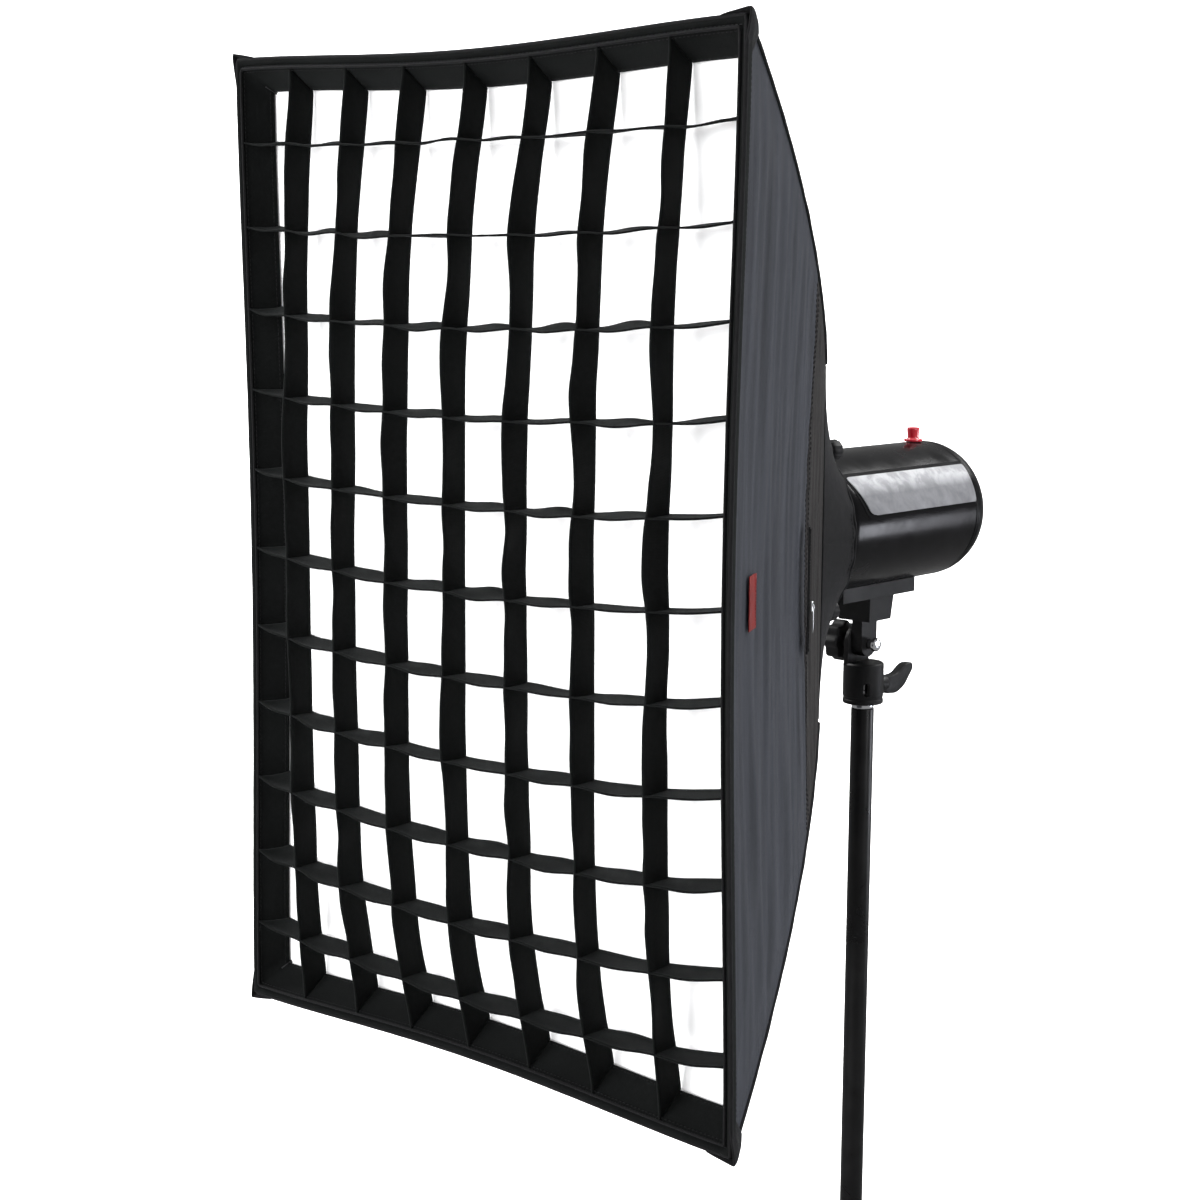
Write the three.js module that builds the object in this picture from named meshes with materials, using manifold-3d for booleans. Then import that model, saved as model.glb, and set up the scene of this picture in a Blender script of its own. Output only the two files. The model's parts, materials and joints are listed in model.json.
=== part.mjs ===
// Studio softbox with its egg-crate grid, on a flash head, a tilting bracket and a folding light stand.
// Millimetres, +Z up. The softbox looks along -Y. The origin is the bottom centre of the whole part's box.
import * as THREE from "three";
import { mergeVertices } from "three/addons/utils/BufferGeometryUtils.js";
import Module from "manifold-3d";

const wasm = await Module();
wasm.setup();

// ---- Driving dimensions ----
const AXIS_HEIGHT = 1400; // optical axis above the floor
const COLUMN_TO_FRONT = 600; // column axis to the softbox's front edge
const GAP = 0.4; // between pieces that touch
const FIT = 0.5; // radial play of a shaft in a faceted bore

const softbox = {
  halfWidth: 300,
  halfHeight: 450,
  cloth: 2.5, // thickness of a side panel, measured across
  frontSag: 9, // how far the middle of a front edge pulls in
  bellySag: 5, // how far the middle of a panel pulls in
  rearShare: 0.38, // size of the rear opening as a share of the front
  diffuserDepth: 36,
  baffleDepth: 215,
  sheetThickness: 1.5,
};
const seam = { rise: 721, bow: 214, ringBend: 90 }; // curve of the seam between two side panels
const hem = [[0, -2.6], [5, -2.6], [28, 33]]; // [distance in from the edge, depth] of the folded hem
const hemThickness = 2;
const pocket = { reach: 30, proud: 8, depth: 26 };
const grid = { pitch: 75, front: 3, back: 33, strip: 2, frontInset: 12, backInset: 31.5, border: 3 };
const zip = { share: 0.6, from: -80, to: 30, slider: -40 };
const tag = { depth: 61, from: -28, to: 17 };
const rod = { radius: 2.5, inset: 11.5, tip: 27, innerEnd: 73 };
const ring = { radius: 76, bore: 56, front: 436, thickness: 8, earReach: 98, earRadius: 12 };
const collarHem = 112;
const head = { radius: 74, wall: 3, front: 466, bodyEnd: 704, rear: 730, panelRadius: 54.6 };
const pivot = { drop: 139, tongue: 6.5, cheek: 5.5, cheekRadius: 20, bolt: 5 };
const receiver = { radius: 22, top: -159, bottom: -204, bore: 8.4 };
const TUBE_WALL = 1.5;
const topTube = 12.5; // outer radii of the column's two tubes
const baseTube = 17.5;
const topTubeFoot = 210;
const baseTubeFoot = 100;
const baseTubeTop = 585;
const legRadius = 11;
const legSlope = 18; // degrees below horizontal
const legBend = 60; // distance from the column axis to the leg's bend
const legEnd = 12; // height of the leg's axis at its foot
// Each leg turns on its own sleeve, stacked so that the legs nest when they are folded together.
const legs = [{ height: 124, angle: 30 }, { height: 153, angle: 150 }, { height: 182, angle: -90 }];
const sleeveHeight = 28;
const cornerReach = Math.hypot(softbox.halfWidth, softbox.halfHeight);
const CORNERS = [[1, 1], [-1, 1], [-1, -1], [1, -1]]; // signs of X and Z

// ---- Materials ----
const finish = (color, roughness, metalness = 0) => new THREE.MeshStandardMaterial({ color, roughness, metalness });
const materials = {
  fabric: finish(0x2b2c31, 0.85),
  webbing: finish(0x141415, 0.9),
  diffuser: finish(0xf4f5f6, 0.9),
  fibreglass: finish(0x1b1b1d, 0.45),
  alloy: finish(0xb9bbbf, 0.35, 0.9),
  chrome: finish(0xd8dade, 0.15, 1),
  gloss: finish(0x0b0b0d, 0.25),
  plastic: finish(0x161618, 0.6),
  silver: finish(0xc4c5c8, 0.4, 0.6),
  red: finish(0xb01226, 0.35),
  glass: finish(0xe8eef0, 0.05),
  blackTube: finish(0x0d0d0e, 0.35, 0.4),
  rubber: finish(0x101010, 0.95),
};

// ---- Solids ----
function solidOf(geometry) {
  const bare = new THREE.BufferGeometry().setAttribute("position", geometry.getAttribute("position"));
  if (geometry.index) bare.setIndex(geometry.index);
  const merged = mergeVertices(bare, 1e-4);
  return new wasm.Manifold(
    new wasm.Mesh({
      numProp: 3,
      vertProperties: merged.attributes.position.array,
      triVerts: new Uint32Array(merged.index.array),
    }),
  );
}

function geometryOf(solid) {
  const mesh = solid.getMesh();
  return new THREE.BufferGeometry()
    .setAttribute("position", new THREE.BufferAttribute(mesh.vertProperties, 3))
    .setIndex(new THREE.BufferAttribute(mesh.triVerts, 1));
}

const hullOf = (points) => geometryOf(wasm.Manifold.hull(points));
const mirrored = (geometry, [sx, sz]) => geometryOf(solidOf(geometry).scale([sx, 1, sz]));
const join = (...pieces) => geometryOf(pieces.map(solidOf).reduce((a, b) => a.add(b)));
const cut = (base, ...tools) => geometryOf(tools.map(solidOf).reduce((a, b) => a.subtract(b), solidOf(base)));

// Turns a profile of [radius, height] pairs about an axis; height runs along that axis.
function revolve(profile, axis = "z", segments = 32) {
  const area = profile.reduce((sum, [r, h], i) => {
    const [nextR, nextH] = profile[(i + 1) % profile.length];
    return sum + r * nextH - nextR * h;
  }, 0);
  const ordered = area > 0 ? [...profile] : [...profile].reverse();
  if (ordered[0][0] > 0) ordered.push(ordered[0]);
  const turned = new THREE.LatheGeometry(ordered.map(([r, h]) => new THREE.Vector2(r, h)), segments);
  if (axis === "z") turned.rotateX(Math.PI / 2);
  if (axis === "x") turned.rotateZ(-Math.PI / 2);
  return turned;
}

const shaft = (radius, from, to, axis = "z", segments = 24) =>
  revolve([[0, from], [radius, from], [radius, to], [0, to]], axis, segments);
const sleeve = (outer, inner, from, to, axis = "z", segments = 32) =>
  revolve([[inner, from], [outer, from], [outer, to], [inner, to]], axis, segments);
const block = (x, y, z) => new THREE.BoxGeometry(x[1] - x[0], y[1] - y[0], z[1] - z[0])
  .translate((x[0] + x[1]) / 2, (y[0] + y[1]) / 2, (z[0] + z[1]) / 2);

// Extrudes an outline of [a, b] pairs, with optional holes, from height `from` to `to` along Z.
function prism(outline, from, to, holes = []) {
  const path = (pairs) => pairs.map(([a, b]) => new THREE.Vector2(a, b));
  const shape = new THREE.Shape(path(outline));
  holes.forEach((hole) => shape.holes.push(new THREE.Path(path(hole))));
  return new THREE.ExtrudeGeometry(shape, { depth: to - from, bevelEnabled: false }).translate(0, 0, from);
}

const rectangle = (x0, x1, z0, z1) => [[x0, z0], [x1, z0], [x1, z1], [x0, z1]];
const circle = (radius, count, x = 0, z = 0) => Array.from({ length: count }, (_, i) => {
  const angle = (2 * Math.PI * i) / count;
  return [x + radius * Math.cos(angle), z + radius * Math.sin(angle)];
});

// A prism whose outline lies in the XZ plane and whose thickness runs along Y.
const plateY = (outline, from, to, holes = []) => prism(outline, -to, -from, holes).rotateX(Math.PI / 2);

// A closed sheet between two grids of points; a wrapped sheet joins its last column to its first.
function sheet(rows, columns, outer, inner, wrapped = false) {
  const points = [];
  const across = wrapped ? columns : columns + 1;
  for (const surface of [outer, inner])
    for (let i = 0; i <= rows; i++)
      for (let j = 0; j < across; j++) points.push(...surface(i / rows, j / columns));
  const at = (side, i, j) => (side * (rows + 1) + i) * across + (j % across);
  const faces = [];
  const quad = (a, b, c, d) => faces.push(a, b, c, a, c, d);
  for (let i = 0; i < rows; i++)
    for (let j = 0; j < columns; j++) {
      quad(at(0, i, j), at(0, i, j + 1), at(0, i + 1, j + 1), at(0, i + 1, j));
      quad(at(1, i, j), at(1, i + 1, j), at(1, i + 1, j + 1), at(1, i, j + 1));
    }
  for (let j = 0; j < columns; j++) {
    quad(at(0, 0, j), at(1, 0, j), at(1, 0, j + 1), at(0, 0, j + 1));
    quad(at(0, rows, j), at(0, rows, j + 1), at(1, rows, j + 1), at(1, rows, j));
  }
  for (let i = 0; i < rows && !wrapped; i++) {
    quad(at(0, i, 0), at(0, i + 1, 0), at(1, i + 1, 0), at(1, i, 0));
    quad(at(0, i, columns), at(1, i, columns), at(1, i + 1, columns), at(0, i + 1, columns));
  }
  const made = new THREE.BufferGeometry().setAttribute("position", new THREE.Float32BufferAttribute(points, 3));
  made.setIndex(faces);
  if (solidOf(made).volume() < 0) made.setIndex([...faces].reverse());
  return made;
}

// ---- Softbox ----
// Depth of the corner seam at a distance from the optical axis: bowed all along, and more beside the ring.
function seamDepth(reach) {
  const t = 1 - reach / cornerReach;
  return seam.rise * t - seam.bow * t ** 2 - seam.ringBend * t ** 8;
}

// Half width, half height and depth of the shell at a share of its front size.
const section = (share) => ({
  a: softbox.halfWidth * share,
  b: softbox.halfHeight * share,
  y: seamDepth(cornerReach * share),
});
const pull = (w) => (1 - w * w) ** 2; // how much of a panel's sag reaches a point w across it

// A side panel: `upright` panels close left and right, the others close top and bottom.
function sidePanel(sign, upright) {
  const { cloth, frontSag, bellySag, rearShare } = softbox;
  const clothUp = (cloth * softbox.halfHeight) / softbox.halfWidth;
  const surface = (inward) => (along, across) => {
    const { a, b, y } = section(1 - along * (1 - rearShare));
    const w = across * 2 - 1;
    const sag = (frontSag * (1 - along) + bellySag * Math.sin(Math.PI * along)) * pull(w);
    const off = sign * ((upright ? a - inward * cloth : b - inward * clothUp) - sag);
    const span = w * (upright ? b - inward * clothUp - FIT : a - inward * cloth - FIT);
    return upright ? [off, y, span] : [span, y, off];
  };
  return sheet(10, 8, surface(0), surface(1));
}

// Fabric collar from the shell's rear opening to a round hem around the speed ring.
function rearCollar() {
  const start = section(softbox.rearShare);
  const startReach = cornerReach * softbox.rearShare;
  const surface = (inward) => (along, around) => {
    const angle = 2 * Math.PI * around;
    const c = Math.cos(angle);
    const s = Math.sin(angle);
    const toEdge = Math.min(start.a / Math.abs(c || 1e-9), start.b / Math.abs(s || 1e-9));
    const reach = toEdge * (1 - along) + collarHem * along - inward * softbox.cloth;
    const y = seamDepth(startReach + (collarHem - startReach) * along) + 1;
    return [reach * c, y, reach * s];
  };
  return sheet(3, 32, surface(0), surface(1), true);
}

// A point on the front rectangle, drawn in by `inset`, with its sides pulled in a little in the middle.
function rim(around, inset) {
  const side = Math.floor(around * 4 + 1e-6) % 4;
  const w = (around * 4 - Math.floor(around * 4 + 1e-6)) * 2 - 1;
  const a = softbox.halfWidth - inset;
  const b = softbox.halfHeight - (inset * softbox.halfHeight) / softbox.halfWidth;
  const sag = softbox.frontSag * pull(w);
  return [[a - sag, w * b], [-w * a, b - sag], [sag - a, -w * b], [w * a, sag - b]][side];
}

// Folded hem around the front opening, with a pocket at each corner for the tip of a rod.
function frontHem() {
  const surface = (back) => (along, around) => {
    const [inset, depth] = hem[Math.round(along * 2)];
    const [x, z] = rim(around, inset);
    return [x, depth + back * hemThickness, z];
  };
  const fold = sheet(2, 32, surface(0), surface(1), true);
  return join(fold, ...CORNERS.map((corner) => mirrored(cornerPocket(), corner)));
}

function cornerPocket() {
  const corner = (share, grow, reach, y) => {
    const { a, b } = section(share);
    return [[a - reach, b], [a, b], [a, b - reach]].map(([x, z]) => [x + grow, y, z + grow]);
  };
  const rearShare = 1 - pocket.depth / 721;
  const cap = hullOf([
    ...corner(1, 1, pocket.reach, hem[0][1]),
    ...corner(1, pocket.proud, pocket.reach / 2, hem[0][1] + 3),
    ...corner(rearShare, 5, pocket.reach / 2, pocket.depth),
    ...corner(rearShare, 1, pocket.reach, pocket.depth - 4),
  ]);
  const room = (share, y) => {
    const { a, b } = section(share);
    return [[a + 0.5, y, b + 0.5], [0, y, b + 0.5], [a + 0.5, y, 0], [0, y, 0]];
  };
  return cut(cap, hullOf([...room(1, -0.6), ...room(1 - 40 / 721, 40)]));
}

const frontDiffuser = () => plateY(
  Array.from({ length: 32 }, (_, i) => rim(i / 32, 24)),
  softbox.diffuserDepth,
  softbox.diffuserDepth + softbox.sheetThickness,
);

// Inner baffle, a flat sheet across the shell at half depth.
function innerBaffle() {
  let share = 1;
  while (section(share).y < softbox.baffleDepth) share -= 0.001;
  const { a, b } = section(share);
  const depth = [softbox.baffleDepth, softbox.baffleDepth + softbox.sheetThickness];
  return block([14 - a, a - 14], depth, [18 - b, b - 18]);
}

// Crossed strips in a sloping border, all slotted together.
function eggCrate() {
  const band = (side) => (along, around) => {
    const inset = grid.frontInset + (grid.backInset - grid.frontInset) * along + side * grid.border;
    const [x, z] = rim(around, inset);
    return [x, grid.front + (grid.back - grid.front) * along, z];
  };
  const border = sheet(1, 32, band(0), band(1), true);
  const ratio = softbox.halfHeight / softbox.halfWidth;
  const strip = (offset, upright) => hullOf([[grid.frontInset, grid.front], [grid.backInset, grid.back]].flatMap(
    ([inset, y]) => {
      const a = softbox.halfWidth - inset;
      const b = softbox.halfHeight - inset * ratio;
      const sag = softbox.frontSag * pull(offset / (upright ? a : b));
      const half = (upright ? b : a) - sag - (upright ? ratio : 1) * 1.5;
      return [-half, half].flatMap((end) => [-grid.strip / 2, grid.strip / 2].map((side) =>
        upright ? [offset + side, y, end] : [end, y, offset + side]));
    },
  ));
  const offsets = (count) => Array.from({ length: count }, (_, i) => (i - (count - 1) / 2) * grid.pitch);
  const uprights = offsets((2 * softbox.halfWidth) / grid.pitch - 1).map((x) => strip(x, true));
  const crossers = offsets((2 * softbox.halfHeight) / grid.pitch - 1).map((z) => strip(z, false));
  return join(border, ...uprights, ...crossers);
}

// Turns a piece drawn with its reach along X and its depth along Y into the plane of one corner.
function atCorner(geometry, [sx, sz]) {
  return geometry.rotateY(-Math.atan2(sz * softbox.halfHeight, sx * softbox.halfWidth));
}

const rodDepth = (reach) => seamDepth(reach + rod.inset);

class RodLine extends THREE.Curve {
  getPoint(t) {
    const reach = cornerReach - rod.tip + (rod.innerEnd - cornerReach + rod.tip) * t;
    return new THREE.Vector3(reach, rodDepth(reach), 0);
  }
}

function flexRod() {
  const shape = new THREE.Shape(circle(rod.radius, 8).map(([a, b]) => new THREE.Vector2(a, b)));
  return new THREE.ExtrudeGeometry(shape, { steps: 14, bevelEnabled: false, extrudePath: new RodLine() });
}

// A straight cylinder along the rod between two distances from the optical axis.
function alongRod(radius, from, to) {
  const start = new THREE.Vector3(from, rodDepth(from), 0);
  const along = new THREE.Vector3(to, rodDepth(to), 0).sub(start);
  const turned = new THREE.Quaternion().setFromUnitVectors(new THREE.Vector3(0, 1, 0), along.clone().normalize());
  return shaft(radius, 0, along.length(), "y", 10).applyQuaternion(turned).translate(start.x, start.y, 0);
}

function speedRing() {
  const back = ring.front + ring.thickness;
  const solids = CORNERS.flatMap((corner) => [
    block([50, ring.earReach], [ring.front, back], [-ring.earRadius, ring.earRadius]),
    shaft(ring.earRadius, ring.front, back, "y", 16).translate(ring.earReach, 0, 0),
    shaft(6, 418, ring.front + 1, "y", 10).translate(ring.earReach, 0, 0),
    alongRod(6, 76, 100),
  ].map((piece) => atCorner(piece, corner)));
  const holes = CORNERS.flatMap((corner) => [
    alongRod(rod.radius + 1.2, 66, 116),
    shaft(3.5, 424, back + 1, "y", 10).translate(ring.earReach, 0, 0),
  ].map((piece) => atCorner(piece, corner)));
  const disc = shaft(ring.radius, ring.front, back, "y", 48);
  return cut(join(disc, ...solids), shaft(ring.bore, 400, 460, "y", 48), ...holes);
}

// Lock knob that presses its screw on one rod's end.
function rodLockKnob() {
  const y = ring.front + ring.thickness + GAP;
  const grip = revolve(
    [[0, 427], [3, 427], [3, y], [5, y], [5, y + 5], [9.5, y + 7], [10.5, y + 10], [10.5, y + 19], [8, y + 22], [0, y + 22]],
    "y", 16);
  return grip.translate(ring.earReach, 0, 0);
}

// Spool that the speed ring turns on, with the three lugs that lock into the flash head.
function bayonetInsert() {
  const back = ring.front + ring.thickness + GAP;
  const spool = revolve(
    [[44, 431], [62, 431], [62, ring.front - GAP], [ring.bore - 1, ring.front - GAP], [ring.bore - 1, back],
      [66, back], [66, back + 4.5], [49, back + 4.5], [49, 462], [44, 462]],
    "y", 48);
  const lugs = [90, 210, 330].map((angle) => block([46, 53.5], [457.5, 461.5], [-9, 9])
    .rotateY((angle * Math.PI) / 180));
  return join(spool, ...lugs);
}

// Short vent zip near the back of the right panel, and the slider that runs on it.
function ventZip() {
  const { a, y } = section(zip.share);
  const tape = block([-1, 1], [-5, 5], [zip.from, zip.to]);
  const teeth = block([0.8, 2], [-1.6, 1.6], [zip.from + 2, zip.to - 2]);
  return join(tape, teeth).rotateZ(0.66).translate(a - 1.6, y, 0);
}

function zipSlider() {
  const { a, y } = section(zip.share);
  const body = block([2.4, 5], [-3.5, 3.5], [zip.slider - 5, zip.slider + 5]);
  const pullTab = block([4.2, 5.6], [-2.5, 2.5], [zip.slider - 24, zip.slider - 1]);
  return join(body, pullTab).rotateZ(0.66).translate(a - 1.6, y, 0);
}

// Folded woven tag, sewn beside the front edge of the right panel. It carries no lettering.
function sideTag() {
  const share = 1 - tag.depth / 721;
  const { a, y } = section(share);
  return block([-0.5, 1], [-12, 12], [tag.from, tag.to]).rotateZ(0.41).translate(a - 6.8, y, 0);
}

// ---- Flash head ----
const headHousing = () => revolve(
  [[0, head.front], [64, head.front], [71, head.front + 4], [head.radius, head.front + 13],
    [head.radius, head.bodyEnd], [head.radius - head.wall, head.bodyEnd],
    [head.radius - head.wall, head.front + 14], [62, head.front + 5], [0, head.front + 5]],
  "y", 48);

const frontFlange = () => revolve(
  [[50.5, 450], [68, 450], [70, 453], [70, 461], [66, head.front - GAP], [57, head.front - GAP], [57, 456.5],
    [50.5, 456.5]],
  "y", 48);

const rearBezel = () => revolve(
  [[55.2, head.bodyEnd + GAP], [head.radius, head.bodyEnd + GAP], [73, 712], [69, 721], [63, 727],
    [58, head.rear - 1], [55.2, head.rear - 1]],
  "y", 48);

// Curved badge plate on one side of the housing, without any lettering.
function badgePlate(sign) {
  const from = (10 * Math.PI) / 180;
  const to = (44 * Math.PI) / 180;
  const surface = (radius) => (along, around) => {
    const angle = from + (to - from) * around;
    const lead = 482 + 22 * (1 - around);
    return [sign * radius * Math.cos(angle), lead + (head.bodyEnd - 1 - lead) * along, radius * Math.sin(angle)];
  };
  return sheet(1, 8, surface(head.radius + 2), surface(head.radius + GAP));
}

// Circuit board with its two storage capacitors, inside the housing.
const capacitorBank = () => join(
  block([-55, 55], [500, 680], [-34, -31]),
  shaft(22, 520, 610, "y").translate(-26, 0, -10),
  shaft(22, 520, 610, "y").translate(26, 0, -10),
  block([-40, 40], [625, 670], [-32, 12]),
);

const controlPanel = () => plateY(circle(head.panelRadius, 48), 718, 722, [
  circle(5.6, 16, -22, -16),
  rectangle(10, 32, -26, -12),
  rectangle(-14, 14, -46, -32),
]);

const powerDial = () => join(
  revolve([[0, 722 + GAP], [14, 722 + GAP], [13, 734], [12, 735], [0, 735]], "y", 24),
  block([-1, 1], [734, 736], [2, 12]),
).translate(0, 0, 22);
const testButton = () => shaft(5, 711, 725.5, "y", 16).translate(-22, 0, -16);
const powerSwitch = () => plateY(rectangle(11, 31, -24.6, -13.4), 712, 723.5);

function mainsInlet() {
  const body = block([-13.5, 13.5], [708, 723.5], [-45.6, -32.4]);
  const socket = block([-11.5, 11.5], [712, 724], [-43.6, -34.4]);
  const pins = [-6, 0, 6].map((x) => block([x - 1, x + 1], [709, 720], [-41, -37]));
  return join(cut(body, socket), ...pins);
}

const slaveSensor = () => revolve([[0, 0], [10, 0], [10, 2.5], [6.5, 3], [7, 14], [5.5, 15.5], [0, 15.5]], "z", 20)
  .translate(0, 684, head.radius + GAP);

function flashTube() {
  const hoop = new THREE.TorusGeometry(29, 3.6, 8, 20).rotateX(Math.PI / 2).translate(0, 447, 0);
  const stems = [-29, 29].map((x) => shaft(3.2, 447, head.front - GAP, "y", 8).translate(x, 0, 0));
  return join(hoop, ...stems);
}

const modellingLamp = () => revolve(
  [[0, 418], [8, 420], [13, 428], [13, 436], [8, 446], [8, head.front - GAP], [0, head.front - GAP]], "y", 16);

// ---- Bracket ----
function mountingPlate() {
  const pad = block([-27, 27], [-78, 54], [-85, -62]);
  const body = shaft(head.radius + GAP, -140, 110, "y", 48);
  const screw = revolve([[0, -89], [5, -88], [5, -84], [0, -84]], "z", 12).translate(0, 42, 0);
  return join(cut(pad, body), screw);
}

function tiltBracket() {
  const top = -85 - GAP;
  const shoulder = hullOf([[22, top], [20, -112]].flatMap(([half, z]) =>
    [-half, half].flatMap((x) => [-half, half].map((y) => [x, y, z]))));
  const tongue = join(
    block([-pivot.tongue, pivot.tongue], [-14, 14], [-pivot.drop, -110]),
    shaft(14, -pivot.tongue, pivot.tongue, "x").translate(0, 0, -pivot.drop),
  );
  return cut(join(shoulder, tongue), shaft(pivot.bolt + FIT, -30, 30, "x").translate(0, 0, -pivot.drop));
}

function standReceiver() {
  const inner = pivot.tongue + FIT;
  const cheeks = [[-inner - pivot.cheek, -inner], [inner, inner + pivot.cheek]].map((x) => join(
    block(x, [-pivot.cheekRadius, pivot.cheekRadius], [receiver.top - 4, -pivot.drop]),
    shaft(pivot.cheekRadius, x[0], x[1], "x", 32).translate(0, 0, -pivot.drop),
  ));
  const barrel = shaft(receiver.radius, receiver.bottom, receiver.top, "z", 32);
  return cut(
    join(barrel, ...cheeks),
    shaft(pivot.bolt + FIT, -40, 40, "x").translate(0, 0, -pivot.drop),
    shaft(receiver.bore, receiver.bottom - 1, -162, "z"),
    shaft(4.6, 0, 40, "y", 12).translate(0, 0, -188),
    block([0, 30], [-3, 3], [-194, -180]).rotateZ(-Math.PI / 4),
  );
}

const pivotBolt = () => join(
  shaft(pivot.bolt, -18, 14, "x"),
  revolve([[0, 13], [7.5, 13], [7.5, 16.5], [5, 19], [0, 19]], "x", 24),
).translate(0, 0, -pivot.drop);

function tiltKnob() {
  const lobes = Array.from({ length: 40 }, (_, i) => {
    const angle = (2 * Math.PI * i) / 40;
    const radius = 21 + 1.5 * Math.cos(8 * angle);
    return [radius * Math.cos(angle), radius * Math.sin(angle)];
  });
  return join(prism(lobes, 22, 40).rotateY(-Math.PI / 2), shaft(9, -23, -18 - GAP, "x"))
    .translate(0, 0, -pivot.drop);
}

// Clamp lever at the back of the receiver: a screw with a broad, upswept wing.
function clampLever() {
  const screw = shaft(4, 9, 30, "y", 12);
  const hub = shaft(8, 24, 38, "y", 16);
  const wing = prism([[36, -12], [58, -14], [74, -6], [88, 12], [88, 17], [76, 18], [56, 8], [36, 6]], -5, 5)
    .rotateY(Math.PI / 2).rotateX(Math.PI / 2);
  return join(screw, hub, wing).translate(0, 0, -188);
}

// ---- Stand ----
const topTubeEnd = AXIS_HEIGHT + receiver.bottom - 6;
const spigot = () => revolve(
  [[0, topTubeEnd - 45], [10.4, topTubeEnd - 45], [10.4, topTubeEnd + GAP], [12, topTubeEnd + GAP],
    [12, topTubeEnd + 5.4], [7.9, topTubeEnd + 5.4], [7.9, topTubeEnd + 46], [0, topTubeEnd + 46]],
  "z", 24);

// Clamp collar on top of the base tube, closing down to the tube that slides in it.
function heightCollar() {
  const bottom = baseTubeTop - 30;
  const wide = baseTube + GAP;
  const narrow = topTube + FIT;
  const body = baseTube + 8;
  const shell = revolve(
    [[wide, bottom], [body, bottom], [body + 1.5, bottom + 6], [body + 1.5, bottom + 42], [narrow + 6, bottom + 50],
      [narrow, bottom + 50], [narrow, bottom + 38], [wide, bottom + 38]],
    "z", 32);
  const boss = block([-9, 9], [wide + 2, body + 9], [bottom + 8, bottom + 30]);
  return cut(join(shell, boss), shaft(4.5, wide - 2, body + 20, "y", 12).translate(0, 0, bottom + 19));
}

const turn = (geometry, degrees) => geometry.rotateZ((degrees * Math.PI) / 180);

// Knob whose screw presses on the base tube from the side.
function clampKnob(height) {
  const body = baseTube + 8;
  return join(
    shaft(4, baseTube + 1.5, body + 14, "y", 12),
    revolve([[0, body + 10], [8, body + 10], [13, body + 14], [14, body + 30], [11, body + 34], [0, body + 34]], "y", 20),
  ).translate(0, 0, height);
}

// Ring that holds the leg sleeves down on the base tube.
const collarBottom = legs[2].height + sleeveHeight / 2 + 1;
function legCollar() {
  const body = baseTube + 8;
  const shell = sleeve(body, baseTube + GAP, collarBottom, collarBottom + 26);
  const boss = block([-9, 9], [baseTube + 3, body + 9], [collarBottom + 3, collarBottom + 23]);
  return cut(join(shell, boss), shaft(4.5, baseTube - 2, body + 20, "y", 12).translate(0, 0, collarBottom + 13));
}

const baseCap = () => revolve(
  [[0, 94], [20, 94], [24, 98], [24, baseTubeFoot - GAP], [baseTube - TUBE_WALL - FIT, baseTubeFoot - GAP],
    [baseTube - TUBE_WALL - FIT, 118], [0, 118]],
  "z", 32);

const slope = (legSlope * Math.PI) / 180;
const footReach = ({ height }) => legBend + (height - legEnd) / Math.tan(slope);

class LegLine extends THREE.Curve {
  constructor(spec) {
    super();
    this.spec = spec;
  }

  getPoint(t) {
    const { height } = this.spec;
    const bend = 26; // length of the rounded stretch on each side of the bend
    const end = footReach(this.spec);
    if (t <= 0.1) return new THREE.Vector3(22 + (legBend - bend - 22) * t * 10, 0, height);
    const lower = new THREE.Vector3(legBend + bend * Math.cos(slope), 0, height - bend * Math.sin(slope));
    if (t >= 0.5) {
      const foot = new THREE.Vector3(end, 0, legEnd);
      return lower.lerp(foot, (t - 0.5) * 2);
    }
    const k = (t - 0.1) / 0.4;
    const first = new THREE.Vector3(legBend - bend, 0, height);
    const knee = new THREE.Vector3(legBend, 0, height);
    return first.lerp(knee, k).lerp(knee.clone().lerp(lower, k), k);
  }
}

// Leg: a sleeve on the base tube and one bent steel tube.
function leg(spec) {
  const shape = new THREE.Shape(circle(legRadius, 12).map(([a, b]) => new THREE.Vector2(a, b)));
  const line = new LegLine(spec);
  line.arcLengthDivisions = 400;
  const bar = new THREE.ExtrudeGeometry(shape, { steps: 16, bevelEnabled: false, extrudePath: line });
  const half = sleeveHeight / 2;
  const ringBody = sleeve(27, baseTube + FIT, spec.height - half, spec.height + half);
  const bore = shaft(baseTube + FIT, spec.height - 40, spec.height + 40, "z", 32);
  return turn(cut(join(ringBody, bar), bore), spec.angle);
}

// Rubber cup on the end of a leg, worn flat where it stands.
function foot(spec) {
  const cup = revolve(
    [[0, 5], [10, 5], [14, 2], [14, -34], [legRadius + GAP, -34], [legRadius + GAP, GAP], [0, GAP]], "x", 16);
  cup.rotateY(slope).translate(footReach(spec), 0, legEnd);
  return cut(turn(cup, spec.angle), block([-900, 900], [-900, 900], [-60, 0]));
}

// ---- Assembly ----
const part = new THREE.Group();
const assembly = new THREE.Group(); // floor level, column axis at the origin
const light = new THREE.Group(); // optical axis, on the softbox's front plane
const mount = new THREE.Group(); // optical axis, above the column
part.add(assembly);
assembly.add(light, mount);
light.position.set(0, -COLUMN_TO_FRONT, AXIS_HEIGHT);
mount.position.set(0, 0, AXIS_HEIGHT);

function place(parent, name, geometry, material) {
  const mesh = new THREE.Mesh(geometry, material);
  mesh.name = name;
  parent.add(mesh);
}

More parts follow.
